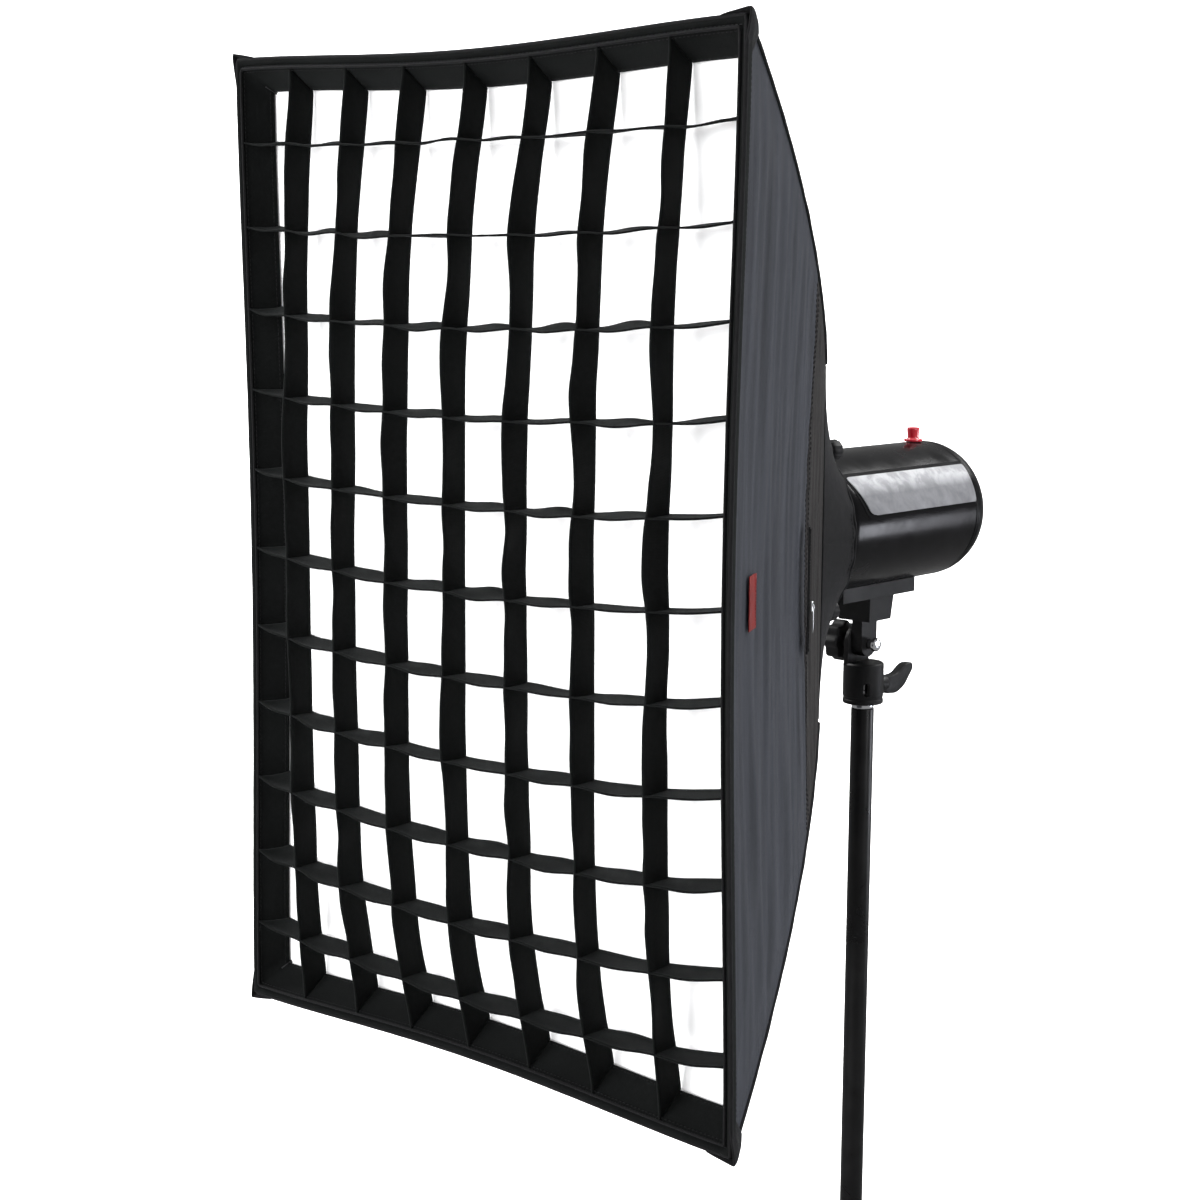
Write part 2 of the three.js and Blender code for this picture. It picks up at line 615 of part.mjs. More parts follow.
place(light, "shell_right", sidePanel(1, true), materials.fabric);
place(light, "shell_left", sidePanel(-1, true), materials.fabric);
place(light, "shell_top", sidePanel(1, false), materials.fabric);
place(light, "shell_bottom", sidePanel(-1, false), materials.fabric);
place(light, "rear_collar", rearCollar(), materials.fabric);
place(light, "front_hem", frontHem(), materials.webbing);
place(light, "front_diffuser", frontDiffuser(), materials.diffuser);
place(light, "inner_baffle", innerBaffle(), materials.diffuser);
place(light, "egg_crate_grid", eggCrate(), materials.webbing);
place(light, "vent_zip", ventZip(), materials.webbing);
place(light, "zip_slider", zipSlider(), materials.alloy);
place(light, "side_tag", sideTag(), materials.red);
CORNERS.forEach((corner, i) => {
  place(light, `flex_rod_${i + 1}`, atCorner(flexRod(), corner), materials.fibreglass);
  place(light, `rod_lock_knob_${i + 1}`, atCorner(rodLockKnob(), corner), materials.plastic);
});
place(light, "speed_ring", speedRing(), materials.alloy);
place(light, "bayonet_insert", bayonetInsert(), materials.alloy);

place(light, "head_housing", headHousing(), materials.gloss);
place(light, "front_flange", frontFlange(), materials.alloy);
place(light, "rear_bezel", rearBezel(), materials.gloss);
place(light, "badge_plate_right", badgePlate(1), materials.silver);
place(light, "badge_plate_left", badgePlate(-1), materials.silver);
place(light, "capacitor_bank", capacitorBank(), materials.plastic);
place(light, "control_panel", controlPanel(), materials.plastic);
place(light, "power_dial", powerDial(), materials.plastic);
place(light, "test_button", testButton(), materials.red);
place(light, "power_switch", powerSwitch(), materials.plastic);
place(light, "mains_inlet", mainsInlet(), materials.plastic);
place(light, "slave_sensor", slaveSensor(), materials.red);
place(light, "flash_tube", flashTube(), materials.glass);
place(light, "modelling_lamp", modellingLamp(), materials.glass);

place(mount, "mounting_plate", mountingPlate(), materials.plastic);
place(mount, "tilt_bracket", tiltBracket(), materials.plastic);
place(mount, "stand_receiver", standReceiver(), materials.plastic);
place(mount, "pivot_bolt", pivotBolt(), materials.chrome);
place(mount, "tilt_knob", tiltKnob(), materials.plastic);
place(mount, "clamp_lever", clampLever(), materials.plastic);

place(assembly, "spigot", spigot(), materials.chrome);
place(assembly, "top_tube", sleeve(topTube, topTube - TUBE_WALL, topTubeFoot, topTubeEnd, "z", 24), materials.blackTube);
place(assembly, "base_tube", sleeve(baseTube, baseTube - TUBE_WALL, baseTubeFoot, baseTubeTop), materials.blackTube);
place(assembly, "height_collar", heightCollar(), materials.plastic);
place(assembly, "height_knob", clampKnob(baseTubeTop - 11), materials.plastic);
place(assembly, "leg_collar", legCollar(), materials.alloy);
place(assembly, "leg_lock_knob", clampKnob(collarBottom + 13), materials.plastic);
place(assembly, "base_cap", baseCap(), materials.plastic);
legs.forEach((spec, i) => {
  place(assembly, `leg_${i + 1}`, leg(spec), materials.blackTube);
  place(assembly, `foot_${i + 1}`, foot(spec), materials.rubber);
});

const bounds = new THREE.Box3().setFromObject(assembly, true);
const middle = bounds.getCenter(new THREE.Vector3());
assembly.position.set(-middle.x, -middle.y, -bounds.min.z);

export default part;
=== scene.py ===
"""Studio softbox with its egg-crate grid, on a flash head, a tilting bracket and a light stand."""

import json
import math

import bmesh
import bpy
import numpy as np
from mathutils import Matrix, Vector, noise


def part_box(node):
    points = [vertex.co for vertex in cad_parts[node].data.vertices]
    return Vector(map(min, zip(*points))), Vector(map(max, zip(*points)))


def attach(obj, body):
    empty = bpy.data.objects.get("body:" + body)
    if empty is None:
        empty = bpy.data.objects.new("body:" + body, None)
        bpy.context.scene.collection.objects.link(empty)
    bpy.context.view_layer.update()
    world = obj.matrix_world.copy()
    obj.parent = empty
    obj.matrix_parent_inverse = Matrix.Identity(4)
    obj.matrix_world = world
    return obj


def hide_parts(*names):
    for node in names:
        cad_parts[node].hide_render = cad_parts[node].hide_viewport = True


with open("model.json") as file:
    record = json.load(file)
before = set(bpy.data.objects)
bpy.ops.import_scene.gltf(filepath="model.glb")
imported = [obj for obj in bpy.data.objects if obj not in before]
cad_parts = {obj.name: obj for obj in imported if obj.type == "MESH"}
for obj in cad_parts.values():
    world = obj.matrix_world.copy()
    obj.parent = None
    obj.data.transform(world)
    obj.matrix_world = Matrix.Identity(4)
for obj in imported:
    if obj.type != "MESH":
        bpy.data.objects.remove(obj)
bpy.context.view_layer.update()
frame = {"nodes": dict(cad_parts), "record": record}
NODES = frame["nodes"]
BODY = {n: b for b, names in frame["record"]["behaviour"]["bodies"].items() for n in names}

# ---- Places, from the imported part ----
insert_low, insert_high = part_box("bayonet_insert")
tube_low, tube_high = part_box("top_tube")
# Optical axis on the softbox's front plane; pieces of the softbox and head are given in mm from here.
AXIS = np.array([(insert_low.x + insert_high.x) / 2, insert_low.y - 0.431,
                 (insert_low.z + insert_high.z) / 2])
# Column axis at floor level; pieces of the stand are given in mm from here.
COLUMN = np.array([(tube_low.x + tube_high.x) / 2, (tube_low.y + tube_high.y) / 2, 0.0])
MOUNT = np.array([COLUMN[0], COLUMN[1], AXIS[2]])

# ---- Camera ----
camera = bpy.data.objects.new("camera", bpy.data.cameras.new("camera"))
bpy.context.scene.collection.objects.link(camera)
camera.data.lens = 65.64
camera.data.sensor_width = 36
camera.data.clip_end = 60
yaw, pitch, roll = math.radians(41.87), math.radians(-8.77), math.radians(0.28)
camera.matrix_world = (
    Matrix.Translation((1.38065, -1.75373, 1.666))
    @ Matrix.Rotation(yaw, 4, "Z")
    @ Matrix.Rotation(math.pi / 2 + pitch, 4, "X")
    @ Matrix.Rotation(roll, 4, "Z")
)
bpy.context.scene.camera = camera


# ---- Finishes ----
class Finish:
    """A procedural material. Each helper adds one node and returns its output."""

    def __init__(self, name, **settings):
        self.material = bpy.data.materials.new(name)
        self.material.use_nodes = True
        self.tree = self.material.node_tree
        self.shader = self.tree.nodes["Principled BSDF"]
        for socket, value in settings.items():
            self.shader.inputs[socket.replace("_", " ")].default_value = value

    def node(self, kind, inputs=None, **props):
        made = self.tree.nodes.new(kind)
        for key, value in props.items():
            setattr(made, key, value)
        for key, value in (inputs or {}).items():
            if isinstance(value, bpy.types.NodeSocket):
                self.tree.links.new(value, made.inputs[key])
            else:
                made.inputs[key].default_value = value
        return made

    def place(self, source, scale=(1, 1, 1), turn=(0, 0, 0)):
        coords = self.node("ShaderNodeTexCoord").outputs[source]
        return self.node("ShaderNodeMapping", {"Vector": coords, "Scale": scale, "Rotation": turn}).outputs[0]

    def noise(self, where, scale, detail=3.0, rough=0.5, twist=0.0):
        inputs = {"Vector": where, "Scale": scale, "Detail": detail, "Roughness": rough, "Distortion": twist}
        return self.node("ShaderNodeTexNoise", inputs).outputs["Fac"]

    def wave(self, where, pitch, axis, twist=0.0):
        inputs = {"Vector": where, "Scale": 0.31416 / pitch, "Distortion": twist, "Detail": 1.0}
        return self.node("ShaderNodeTexWave", inputs, bands_direction=axis).outputs["Fac"]

    def math(self, kind, a, b=0.5):
        return self.node("ShaderNodeMath", {0: a, 1: b}, operation=kind).outputs[0]

    def spread(self, value, low, high, start=0.3, end=0.7):
        inputs = {"Value": value, "From Min": start, "From Max": end, "To Min": low, "To Max": high}
        return self.node("ShaderNodeMapRange", inputs).outputs[0]

    def ramp(self, value, *stops):
        made = self.node("ShaderNodeValToRGB", {0: value})
        bar = made.color_ramp.elements
        bar[0].position, bar[0].color = stops[0][0], (*stops[0][1], 1)
        bar[1].position, bar[1].color = stops[-1][0], (*stops[-1][1], 1)
        for position, colour in stops[1:-1]:
            bar.new(position).color = (*colour, 1)
        return made.outputs[0]

    def mix(self, share, a, b):
        made = self.node("ShaderNodeMix", data_type="RGBA")
        for i, value in ((0, share), (6, a), (7, b)):
            if isinstance(value, bpy.types.NodeSocket):
                self.tree.links.new(value, made.inputs[i])
            else:
                made.inputs[i].default_value = value if i == 0 else (*value, 1)
        return made.outputs[2]

    def bump(self, height, strength, distance, under=None):
        inputs = {"Height": height, "Strength": strength, "Distance": distance}
        if under is not None:
            inputs["Normal"] = under
        return self.node("ShaderNodeBump", inputs).outputs[0]

    def rounded(self, radius):
        return self.node("ShaderNodeBevel", {"Radius": radius}, samples=4).outputs[0]

    def set(self, **links):
        for socket, output in links.items():
            self.tree.links.new(output, self.shader.inputs[socket.replace("_", " ")])
        return self.material


def cloth(name, dark, light, pitch=0.0009, rough=0.75, sheen=0.3, tint=(1, 1, 1), streak=(30, 4),
          crease=0.0015, **more):
    """Woven cloth on UVs in metres: threads, streaks of colour along the cloth, and soft creases."""
    f = Finish(name, Sheen_Weight=sheen, Sheen_Roughness=0.45, Sheen_Tint=(*tint, 1), **more)
    flat = f.place("UV")
    threads = f.math("MULTIPLY", f.wave(flat, pitch, "X", 0.4), f.wave(flat, pitch, "Y", 0.4))
    streaks = f.noise(f.place("UV", (streak[0], streak[1], 1)), 1.0, 4, 0.55, 0.3)
    mottle = f.noise(flat, 260, 4, 0.65)
    shade = f.math("ADD", f.math("MULTIPLY", streaks, 0.65), f.math("MULTIPLY", mottle, 0.35))
    colour = f.ramp(shade, (0.34, dark), (0.66, light))
    colour = f.mix(f.spread(threads, 0.0, 0.35, 0.0, 1.0), colour, light)
    soft = f.bump(streaks, 0.55, crease)
    fine = f.bump(mottle, 0.25, 0.0003, soft)
    weave = f.bump(threads, 0.5, 0.00022, fine)
    return f.set(Base_Color=colour, Roughness=f.spread(streaks, rough - 0.08, rough + 0.1), Normal=weave)


def painted(name, base, worn, rough=0.3, grain=900, relief=0.00012, edge=0.0012, wear=0.62, **more):
    """Paint or moulded plastic in object space: fine grain, smudges, rubbed patches and soft edges."""
    f = Finish(name, **more)
    space = f.place("Object")
    grit = f.noise(space, grain, 3, 0.6)
    smudge = f.noise(space, 22, 5, 0.6, 0.6)
    scuff = f.noise(f.place("Object", (60, 60, 9)), 1.0, 6, 0.7)
    rubbed = f.spread(scuff, 0.0, 0.85, wear, wear + 0.14)
    colour = f.mix(rubbed, f.ramp(smudge, (0.3, base), (0.75, tuple(c * 1.5 + 0.002 for c in base))), worn)
    normal = f.bump(grit, 0.5, relief, f.rounded(edge) if edge else None)
    return f.set(Base_Color=colour, Roughness=f.spread(smudge, max(rough - 0.07, 0.03), rough + 0.1),
                 Normal=normal)


def metal(name, base, dull, rough=0.25, stretch=(1, 1, 1), relief=0.00008, edge=0.0008, **more):
    """Bare or plated metal with drawn or cast grain and dull patches."""
    f = Finish(name, Metallic=1.0, **more)
    lines = f.noise(f.place("Object", stretch), 700, 4, 0.7)
    patches = f.noise(f.place("Object"), 38, 5, 0.65, 0.8)
    colour = f.mix(f.spread(patches, 0.0, 1.0), base, dull)
    normal = f.bump(lines, 0.6, relief, f.rounded(edge) if edge else None)
    return f.set(Base_Color=colour, Roughness=f.spread(lines, max(rough - 0.08, 0.04), rough + 0.14),
                 Normal=normal)


SHELL = cloth("shell_nylon", (0.0052, 0.0057, 0.0074), (0.0165, 0.018, 0.0232), 0.0008, 0.6, 0.06,
              (0.7, 0.78, 1.0),
              (3.2, 46), 0.0028, Specular_IOR_Level=0.16)
# Darker, warmer copy of the shell cloth for the rear band of each side panel: painted shade where the panel
# turns away from the light.
SHELL_REAR_PAINTED_SHADE = cloth("shell_nylon_painted_shade", (0.004, 0.0036, 0.0035), (0.012, 0.0108, 0.0105), 0.0008, 0.7, 0.03,
                   (0.9, 0.85, 0.85), (4, 40), 0.002, Specular_IOR_Level=0.12)
LINING = cloth("silver_lining", (0.42, 0.43, 0.45), (0.72, 0.73, 0.75), 0.0012, 0.34, 0.0,
               (1, 1, 1), (20, 20),
               0.0012, Metallic=0.75)
WEBBING = cloth("black_webbing", (0.0012, 0.0015, 0.0015), (0.0048, 0.0054, 0.0054), 0.0012, 0.88, 0.015,
                (0.8, 0.9, 0.9), (14, 14), 0.0009, Specular_IOR_Level=0.08)
BINDING = cloth("black_binding", (0.0015, 0.0015, 0.0017), (0.0065, 0.0065, 0.007), 0.0007, 0.75, 0.03,
                (0.9, 0.9, 1.0), (60, 60), 0.0004, Specular_IOR_Level=0.12)
THREAD = cloth("black_thread", (0.004, 0.004, 0.005), (0.013, 0.013, 0.015), 0.0005, 0.65, 0.05, (1, 1, 1),
               (90, 90), 0.0002,
               Specular_IOR_Level=0.2)
# White diffuser cloth, also used for the inner baffle, with a faint white emission: painted glow that washes
# out the grid's shadows on the diffuser; the cloth is no lamp.
DIFFUSER_PAINTED_GLOW = cloth("diffuser_nylon_painted_glow", (0.90, 0.902, 0.91), (0.965, 0.966, 0.97), 0.0007, 0.75, 0.05, (1, 1, 1),
                 (9, 2.2), 0.003, Emission_Color=(1, 1, 1, 1), Emission_Strength=0.12)
RED_CLOTH = cloth("red_woven_tag", (0.075, 0.0035, 0.0035), (0.17, 0.010, 0.008), 0.0009, 0.75, 0.05,
                  (1, 0.4, 0.4), (30, 30),
                  0.0004, Specular_IOR_Level=0.15)
GLOSS = painted("gloss_black_body", (0.0012, 0.0012, 0.0015), (0.004, 0.004, 0.005), 0.2, 420, 0.00002,
                0.0, 0.78,
                Specular_IOR_Level=0.11)
# Matte black with little gloss for the band round each badge plate: painted shadow standing for the dark
# groove round the plate.
RECESS_PAINTED_SHADOW = painted("groove_painted_shadow", (0.0018, 0.0018, 0.002), (0.004, 0.004, 0.004), 0.6, 700, 0.0001, 0.0, 0.75,
                 Specular_IOR_Level=0.04)
CAST = painted("black_casting", (0.003, 0.003, 0.0033), (0.018, 0.018, 0.019), 0.42, 1500, 0.0003,
               0.0009, 0.66,
               Specular_IOR_Level=0.14)
MOULDED = painted("black_moulding", (0.005, 0.005, 0.0055), (0.016, 0.016, 0.017), 0.5, 2400, 0.00022,
                  0.0007, 0.66,
                  Specular_IOR_Level=0.14)
TUBE = painted("black_tube", (0.0016, 0.0016, 0.0018), (0.008, 0.008, 0.0085), 0.3, 500, 0.00003, 0.0, 0.74,
               Specular_IOR_Level=0.22)
RUBBER = painted("foot_rubber", (0.012, 0.012, 0.012), (0.05, 0.048, 0.045), 0.82, 1800, 0.0004, 0.0, 0.55)
RED_CAP = painted("red_sensor_cap", (0.42, 0.004, 0.018), (0.6, 0.05, 0.06), 0.18, 500, 0.00005, 0.0, 0.72,
                  Coat_Weight=0.5, Coat_Roughness=0.08, Subsurface_Weight=0.15, Subsurface_Scale=0.004)
RED_SWITCH = painted("red_rocker", (0.45, 0.01, 0.012), (0.62, 0.08, 0.06), 0.3, 900, 0.0001, 0.0006, 0.7)
WHITE_MARK = painted("white_marking", (0.72, 0.72, 0.7), (0.5, 0.5, 0.48), 0.5, 900, 0.0001, 0.0, 0.66)
GREEN_LAMP = painted("green_indicator", (0.02, 0.32, 0.06), (0.05, 0.4, 0.1), 0.15, 600, 0.00003, 0.0, 0.7)
ALLOY = metal("cast_alloy", (0.60, 0.61, 0.63), (0.36, 0.365, 0.38), 0.36, (1, 1, 1), 0.0002)
CHROME = metal("plated_steel", (0.83, 0.84, 0.86), (0.6, 0.61, 0.63), 0.12, (1, 1, 30), 0.00003)
RESIN = painted("rod_resin", (0.012, 0.012, 0.013), (0.05, 0.05, 0.05), 0.32, 900, 0.0001, 0.0, 0.62)


def glass(name, tint):
    f = Finish(name, Transmission_Weight=0.92, IOR=1.47, Coat_Weight=0.2)
    haze = f.noise(f.place("Object"), 90, 4, 0.6)
    colour = f.ramp(haze, (0.3, tint), (0.8, tuple(c * 0.85 for c in tint)))
    return f.set(Base_Color=colour, Roughness=f.spread(haze, 0.02, 0.16), Normal=f.bump(haze, 0.2, 0.0002))


def badge_silver():
    """Silver plate, greyer towards its two ends, with a brushed and slightly mottled middle."""
    f = Finish("badge_silver", Specular_IOR_Level=0.06)
    flat = f.place("UV")
    along = f.node("ShaderNodeSeparateXYZ", {0: flat}).outputs[1]
    brushed = f.noise(f.place("UV", (900, 18, 1)), 1.0, 4, 0.7)
    mottle = f.noise(flat, 55, 4, 0.6, 0.4)
    middle = f.mix(f.spread(mottle, 0.0, 1.0, 0.42, 0.6), (0.30, 0.302, 0.312), (0.46, 0.463, 0.475))
    ends = f.mix(f.spread(mottle, 0.0, 1.0, 0.3, 0.7), (0.13, 0.131, 0.139), (0.20, 0.202, 0.212))
    front = f.spread(along, 1.0, 0.0, 0.020, 0.034)
    rear = f.spread(along, 0.0, 1.0, 0.186, 0.198)
    colour = f.mix(f.math("MAXIMUM", front, rear), middle, ends)
    normal = f.bump(mottle, 0.3, 0.0003, f.bump(brushed, 0.35, 0.0001))
    return f.set(Base_Color=colour, Roughness=f.spread(brushed, 0.5, 0.7), Normal=normal)


SILVER = badge_silver()
GLASS = glass("clear_glass", (0.95, 0.97, 0.97))


# ---- Meshes ----
def build(name, points, faces, finishes, index=None, uv=None, sharp=None, origin=AXIS):
    """An object from points in mm about `origin`, with UVs in metres given per point."""
    mesh = bpy.data.meshes.new(name)
    mesh.from_pydata((np.asarray(points, float) / 1000 + origin).tolist(), [],
                     [list(map(int, f)) for f in faces])
    if uv is not None:
        layer = mesh.uv_layers.new(name="cloth")
        loops = np.zeros(len(mesh.loops), int)
        mesh.loops.foreach_get("vertex_index", loops)
        layer.data.foreach_set("uv", np.asarray(uv, float)[loops].ravel())
    mesh.polygons.foreach_set("use_smooth", [True] * len(mesh.polygons))
    if index is not None:
        mesh.polygons.foreach_set("material_index", index)
    for finish in finishes if isinstance(finishes, (list, tuple)) else [finishes]:
        mesh.materials.append(finish)
    shape = bmesh.new()
    shape.from_mesh(mesh)
    bmesh.ops.remove_doubles(shape, verts=shape.verts, dist=1e-7)
    bmesh.ops.recalc_face_normals(shape, faces=shape.faces)
    shape.to_mesh(mesh)
    shape.free()
    if sharp is not None:
        mesh.set_sharp_from_angle(angle=math.radians(sharp))
    made = bpy.data.objects.new(name, mesh)
    bpy.context.scene.collection.objects.link(made)
    return made


def piece(made, nodes=(), body=None):
    """Hides the part's nodes that a visual piece stands in for, and hangs the piece on the body it rides on.
    """
    nodes = [nodes] if isinstance(nodes, str) else list(nodes)
    if nodes:
        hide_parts(*nodes)
    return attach(made, body or BODY[nodes[0]])


def trim(made):
    """A piece of the softbox that stands for no node of the part."""
    return piece(made, body="softbox")


def sheet_mesh(at, rows, cols, thick, wrap=False, size=(1, 1)):
    """Points, faces and UVs of a closed sheet; `thick` in mm runs inward from the surface at(u, v)."""
    u = np.linspace(0, 1, rows + 1)
    v = np.linspace(0, 1, cols + 1)[: cols if wrap else None]
    grid_u, grid_v = np.meshgrid(u, v, indexing="ij")
    outer = np.stack(np.broadcast_arrays(*at(grid_u, grid_v)), -1).astype(float)
    run = np.gradient(outer, axis=0)
    cross = (np.roll(outer, -1, 1) - np.roll(outer, 1, 1)) if wrap else np.gradient(outer, axis=1)
    normal = np.cross(run, cross)
    normal /= np.linalg.norm(normal, axis=-1, keepdims=True) + 1e-12
    depth = thick(grid_u, grid_v)[..., None] if callable(thick) else thick
    inner = outer - normal * depth
    width = len(v)
    count = (rows + 1) * width
    points = np.concatenate([outer.reshape(-1, 3), inner.reshape(-1, 3)])
    uv = np.stack([grid_v * size[1], grid_u * size[0]], -1).reshape(-1, 2)
    i, j = np.meshgrid(np.arange(rows), np.arange(cols), indexing="ij")
    a, b = i * width + j, (i + 1) * width + j
    c, d = (i + 1) * width + (j + 1) % width, i * width + (j + 1) % width
    front = np.stack([a, b, c, d], -1).reshape(-1, 4)
    back = front[:, ::-1] + count
    rims = []
    for row in (0, rows):
        for k in range(cols):
            p, q = row * width + k, row * width + (k + 1) % width
            rims.append([p, q, q + count, p + count])
    for col in () if wrap else (0, cols):
        for k in range(rows):
            p, q = k * width + col, (k + 1) * width + col
            rims.append([p, q, q + count, p + count])
    faces = [*front.tolist(), *back.tolist(), *rims]
    kind = [0] * len(front) + [1] * len(back) + [0] * len(rims)
    return points, faces, np.concatenate([uv, uv]), kind


def cloth_piece(name, at, rows, cols, thick, finishes, wrap=False, size=(1, 1), sharp=None, origin=AXIS):
    points, faces, uv, kind = sheet_mesh(at, rows, cols, thick, wrap, size)
    finishes = finishes if isinstance(finishes, (list, tuple)) else [finishes]
    return build(name, points, faces, finishes, kind if len(finishes) > 1 else None, uv, sharp, origin)


def bands(rings, steps):
    """Faces that join each ring of `steps` points to the next."""
    faces = []
    for k in range(rings - 1):
        for j in range(steps):
            n = (j + 1) % steps
            faces.append([k * steps + j, k * steps + n, (k + 1) * steps + n, (k + 1) * steps + j])
    return faces


def end_faces(rings, steps):
    """The two faces that close the first and the last ring."""
    return [list(range(steps)), list(range((rings - 1) * steps, rings * steps))]


def turned(profile, axis="y", steps=96, lobes=None):
    """Points, faces and UVs of a profile of (radius, height) pairs turned about an axis."""
    ring = np.linspace(0, 2 * np.pi, steps, endpoint=False)
    points, uv = [], []
    run = 0.0
    for k, (radius, height) in enumerate(profile):
        if k:
            run += math.dist(profile[k - 1], (radius, height))
        grow = 1 if lobes is None else 1 + lobes(ring, k)
        a, b, h = radius * grow * np.cos(ring), radius * grow * np.sin(ring), np.full(steps, float(height))
        order = {"x": (h, a, b), "y": (b, h, a), "z": (a, b, h)}[axis]
        points.append(np.stack(order, -1))
        uv.append(np.stack([ring * max(radius, 6) / 1000, np.full(steps, run / 1000)], -1))
    return np.concatenate(points), bands(len(profile), steps), np.concatenate(uv)


def soften(profile, radius=1.0, count=4, closed=False):
    """The profile with each corner rounded."""
    path = [np.array(p, float) for p in profile]
    total = len(path)
    made = []
    for k, here in enumerate(path):
        if not closed and k in (0, total - 1):
            made.append(tuple(here))
            continue
        before, after = path[k - 1] - here, path[(k + 1) % total] - here
        reach = min(radius, np.linalg.norm(before) * 0.45, np.linalg.norm(after) * 0.45)
        start = here + before / np.linalg.norm(before) * reach
        end = here + after / np.linalg.norm(after) * reach
        for t in np.linspace(0, 1, count + 1):
            made.append(tuple(start * (1 - t) ** 2 + 2 * here * t * (1 - t) + end * t * t))
    return made


def rectangle(x, y, radius, count=3):
    """A rectangle with rounded corners, from its two ranges."""
    return soften([(x[0], y[0]), (x[1], y[0]), (x[1], y[1]), (x[0], y[1])], radius, count, True)


def ribs(profile, depth, count, beyond):
    """Ribs round a knob, only where its profile is wider than `beyond`."""
    return lambda ring, k: depth * np.cos(count * ring) * (profile[k][0] > beyond)


def merge(*parts):
    """One mesh from several (points, faces, uv) triples."""
    points, faces, uv = [], [], []
    count = 0
    for part_points, part_faces, part_uv in parts:
        faces += [[i + count for i in face] for face in part_faces]
        points.append(np.asarray(part_points, float))
        uv.append(np.asarray(part_uv, float))
        count += len(part_points)
    return np.concatenate(points), faces, np.concatenate(uv)


def moved(part, offset=(0, 0, 0), turn=None):
    points = np.asarray(part[0], float)
    if turn is not None:
        points = points @ np.array(turn.to_3x3()).T
    return points + np.array(offset, float), part[1], part[2]


def turn_about(axis, degrees):
    return Matrix.Rotation(math.radians(degrees), 4, axis)


def lathe(name, profile, finishes, axis="y", at=(0, 0, 0), steps=96, sharp=40, lobes=None, origin=AXIS):
    part = moved(turned(profile, axis, steps, lobes), at)
    return build(name, part[0], part[1], finishes, None, part[2], sharp, origin)


def swept(path, radius, steps=12):
    """A tube of `radius` along a path of points in mm."""
    path = np.asarray(path, float)
    tangent = np.gradient(path, axis=0)
    tangent /= np.linalg.norm(tangent, axis=1, keepdims=True)
    side = np.cross(tangent[0], [0, 0, 1.0])
    if np.linalg.norm(side) < 1e-3:
        side = np.cross(tangent[0], [0, 1.0, 0])
    side /= np.linalg.norm(side)
    ring = np.linspace(0, 2 * np.pi, steps, endpoint=False)
    points, uv = [], []
    run = 0.0
    for k, centre in enumerate(path):
        side = side - tangent[k] * (side @ tangent[k])
        side /= np.linalg.norm(side)
        up = np.cross(tangent[k], side)
        run += math.dist(path[k - 1], centre) if k else 0
        wide = radius[k] if hasattr(radius, "__len__") else radius
        points.append(centre + wide * (np.cos(ring)[:, None] * side + np.sin(ring)[:, None] * up))
        uv.append(np.stack([ring * wide / 1000, np.full(steps, run / 1000)], -1))
    faces = bands(len(path), steps) + end_faces(len(path), steps)
    return np.concatenate(points), faces, np.concatenate(uv)


def slab(outline, low, high, edge=1.0, axis="z"):
    """An outline of (a, b) pairs given thickness along an axis, with rounded edges."""
    pairs = np.asarray(outline, float)
    middle = pairs.mean(0)
    away = pairs - middle
    away /= np.linalg.norm(away, axis=1, keepdims=True)
    rings = []
    for t in np.linspace(0, 90, 5):
        rings.append((edge * (1 - math.sin(math.radians(t))), low + edge * (1 - math.cos(math.radians(t)))))
    rings += [(inset, low + high - height) for inset, height in reversed(rings)]
    points, uv = [], []
    for inset, height in rings:
        flat = pairs - away * inset
        h = np.full(len(flat), height)
        order = {"x": (h, flat[:, 0], flat[:, 1]), "y": (flat[:, 0], h, flat[:, 1]),
                 "z": (flat[:, 0], flat[:, 1], h)}
        points.append(np.stack(order[axis], -1))
        uv.append(flat / 1000 + height / 1000)
    count = len(pairs)
    faces = end_faces(len(rings), count) + bands(len(rings), count)
    return np.concatenate(points), faces, np.concatenate(uv)


def rounded_box(x, y, z, edge=1.5):
    return slab(rectangle(x, y, edge), z[0], z[1], min(edge, (z[1] - z[0]) / 2.2))


def made_of(name, parts, finishes, sharp=35, origin=AXIS):
    points, faces, uv = merge(*parts)
    return build(name, points, faces, finishes, None, uv, sharp, origin)


def carve(base, *tools):
    """Cuts the tools out of the base mesh, and removes them."""
    for tool in tools:
        cutter = base.modifiers.new("cut", "BOOLEAN")
        cutter.object = tool
        cutter.operation = "DIFFERENCE"
        cutter.solver = "EXACT"
        shown = base.evaluated_get(bpy.context.evaluated_depsgraph_get())
        mesh = bpy.data.meshes.new_from_object(shown)
        base.modifiers.clear()
        base.data = mesh
        bpy.data.objects.remove(tool)
    base.data.set_sharp_from_angle(angle=math.radians(35))
    return base


def ripple(a, b, seed):
    """Smooth noise from -1 to 1 over two arrays of numbers."""
    return np.vectorize(lambda p, q: noise.noise(Vector((p, q, seed))))(a, b)


def stitches(path, pitch=4.0, length=2.6, radius=0.38):
    """Threads laid end to end along a path of points in mm."""
    path = np.asarray(path, float)
    steps = np.concatenate([[0], np.cumsum(np.linalg.norm(np.diff(path, axis=0), axis=1))])
    parts = []
    for start in np.arange(0.5, steps[-1] - length, pitch):
        spots = start + length * np.array([0, 0.12, 0.5, 0.88, 1])
        line = np.stack([np.interp(spots, steps, path[:, k]) for k in range(3)], -1)
        parts.append(swept(line, radius * np.array([0.35, 0.9, 1.0, 0.9, 0.35]), 5))
    return merge(*parts)


